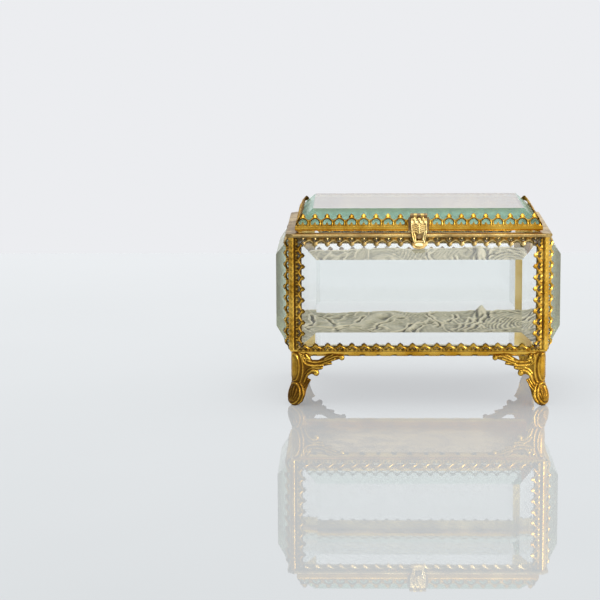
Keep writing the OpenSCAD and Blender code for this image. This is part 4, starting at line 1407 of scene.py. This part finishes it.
def make_world():
    """A pale wall for the eye, and a darker room for what the box reflects."""
    world = bpy.data.worlds.new("studio")
    bpy.context.scene.world = world
    world.use_nodes = True
    tree = world.node_tree
    tree.nodes.clear()
    path = add_node(tree, "ShaderNodeLightPath").outputs
    direction = add_node(tree, "ShaderNodeTexCoord").outputs["Generated"]
    parts = add_node(tree, "ShaderNodeSeparateXYZ", {0: direction}).outputs
    seen = maths(tree, "MAXIMUM", path["Is Camera Ray"], path["Is Transmission Ray"])
    behind = mapped(tree, parts["Y"], -0.5, 0.3, 0, 1)
    flank = mapped(tree, parts["X"], -0.35, 0.4, 0.06, 1.15)
    back = mapped(tree, parts["X"], -0.9, -0.25, 0.25, 1.0)
    room = add_node(tree, "ShaderNodeMix", {"Factor": behind, "A": flank, "B": back}).outputs[0]
    level = add_node(tree, "ShaderNodeMix", {"Factor": path["Is Glossy Ray"], "A": SKY_LIGHT, "B": room})
    shown = add_node(tree, "ShaderNodeMix", {"Factor": seen, "A": level.outputs[0], "B": 1.0})
    sky = add_node(tree, "ShaderNodeBackground", {"Strength": shown.outputs[0], "Color": WALL_COLOUR})
    add_node(tree, "ShaderNodeOutputWorld", {"Surface": sky.outputs[0]})


table = make_table()
make_world()
print("table", 2 * TABLE_HALF, "m wide, its far edge", TABLE_FAR, "m behind the box")


# %% Lamps
LAMPS = {
    # name: (place, aim, size, watts)
    "top_box": ((-0.05, -0.45, 0.95), (0, 0, 0.04), (0.7, 0.32), 2.3),
    "right_box": ((0.75, -0.65, 0.42), (0, 0, 0.05), (0.22, 0.45), 3.1),
    "left_strip": ((-0.85, -0.45, 0.35), (0, 0, 0.05), (0.06, 0.5), 0.3),
}


def spared_by_lamps(piece):
    """A collection that holds this piece, marked so that linked lamps leave it out."""
    group = bpy.data.collections.new("spared")
    group.objects.link(piece)
    for member in group.collection_objects:
        member.light_linking.link_state = "EXCLUDE"
    return group


def soft_lamp(name, at, aim, size, watts, spared):
    """An area lamp that doesn't show through the glass and doesn't light what is spared."""
    lamp = bpy.data.lights.new(name, "AREA")
    lamp.shape = "RECTANGLE"
    lamp.size, lamp.size_y = size
    lamp.energy = watts
    holder = in_scene(name, lamp)
    aim_line = Vector(aim) - Vector(at)
    holder.matrix_world = Matrix.Translation(at) @ aim_line.to_track_quat("-Z", "Y").to_matrix().to_4x4()
    holder.visible_transmission = False
    holder.light_linking.receiver_collection = spared


spared = spared_by_lamps(table)
for name, given in LAMPS.items():
    soft_lamp(name, *given, spared)
print("lamps:", list(LAMPS))

# %% [markdown]
# Light passes several panes and is thrown back many times inside their bevels, so many bounces
# are allowed, or the bevels would turn black. Caustics are off, because the clear film of the
# glass already lets the lamps' light through.

# %% View and bounces
scene = bpy.context.scene
scene.view_settings.view_transform = "Standard"
scene.cycles.max_bounces = 40
scene.cycles.glossy_bounces = 8
scene.cycles.transmission_bounces = 40
scene.cycles.transparent_max_bounces = 12
scene.cycles.caustics_reflective = False
scene.cycles.caustics_refractive = False
print("bounces:", scene.cycles.max_bounces)

# %% [markdown]
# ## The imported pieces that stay
# Plates, card, bottom sheet, stud, hinge leaves, bracket and pins are plain turned, cut or
# ground shapes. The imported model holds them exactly, so they only get their finish.

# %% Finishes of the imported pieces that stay
PLAIN_FINISH = {
    "front_glass": crystal, "back_glass": crystal, "left_glass": end_crystal, "right_glass": end_crystal,
    "lid_glass": lid_crystal, "pad_card": card_material, "bottom_sheet": gilt_sheet, "catch_stud": aged_sheet,
    "hinge_case_leaf": gilt_sheet, "hinge_lid_leaf": gilt_sheet, "hinge_pin": aged_sheet,
    "hasp_bracket": aged_sheet, "hasp_pin": aged_sheet,
}
for name, material in PLAIN_FINISH.items():
    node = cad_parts[name]
    node.data.materials.clear()
    node.data.materials.append(material)
print(len(PLAIN_FINISH), "packed pieces dressed")
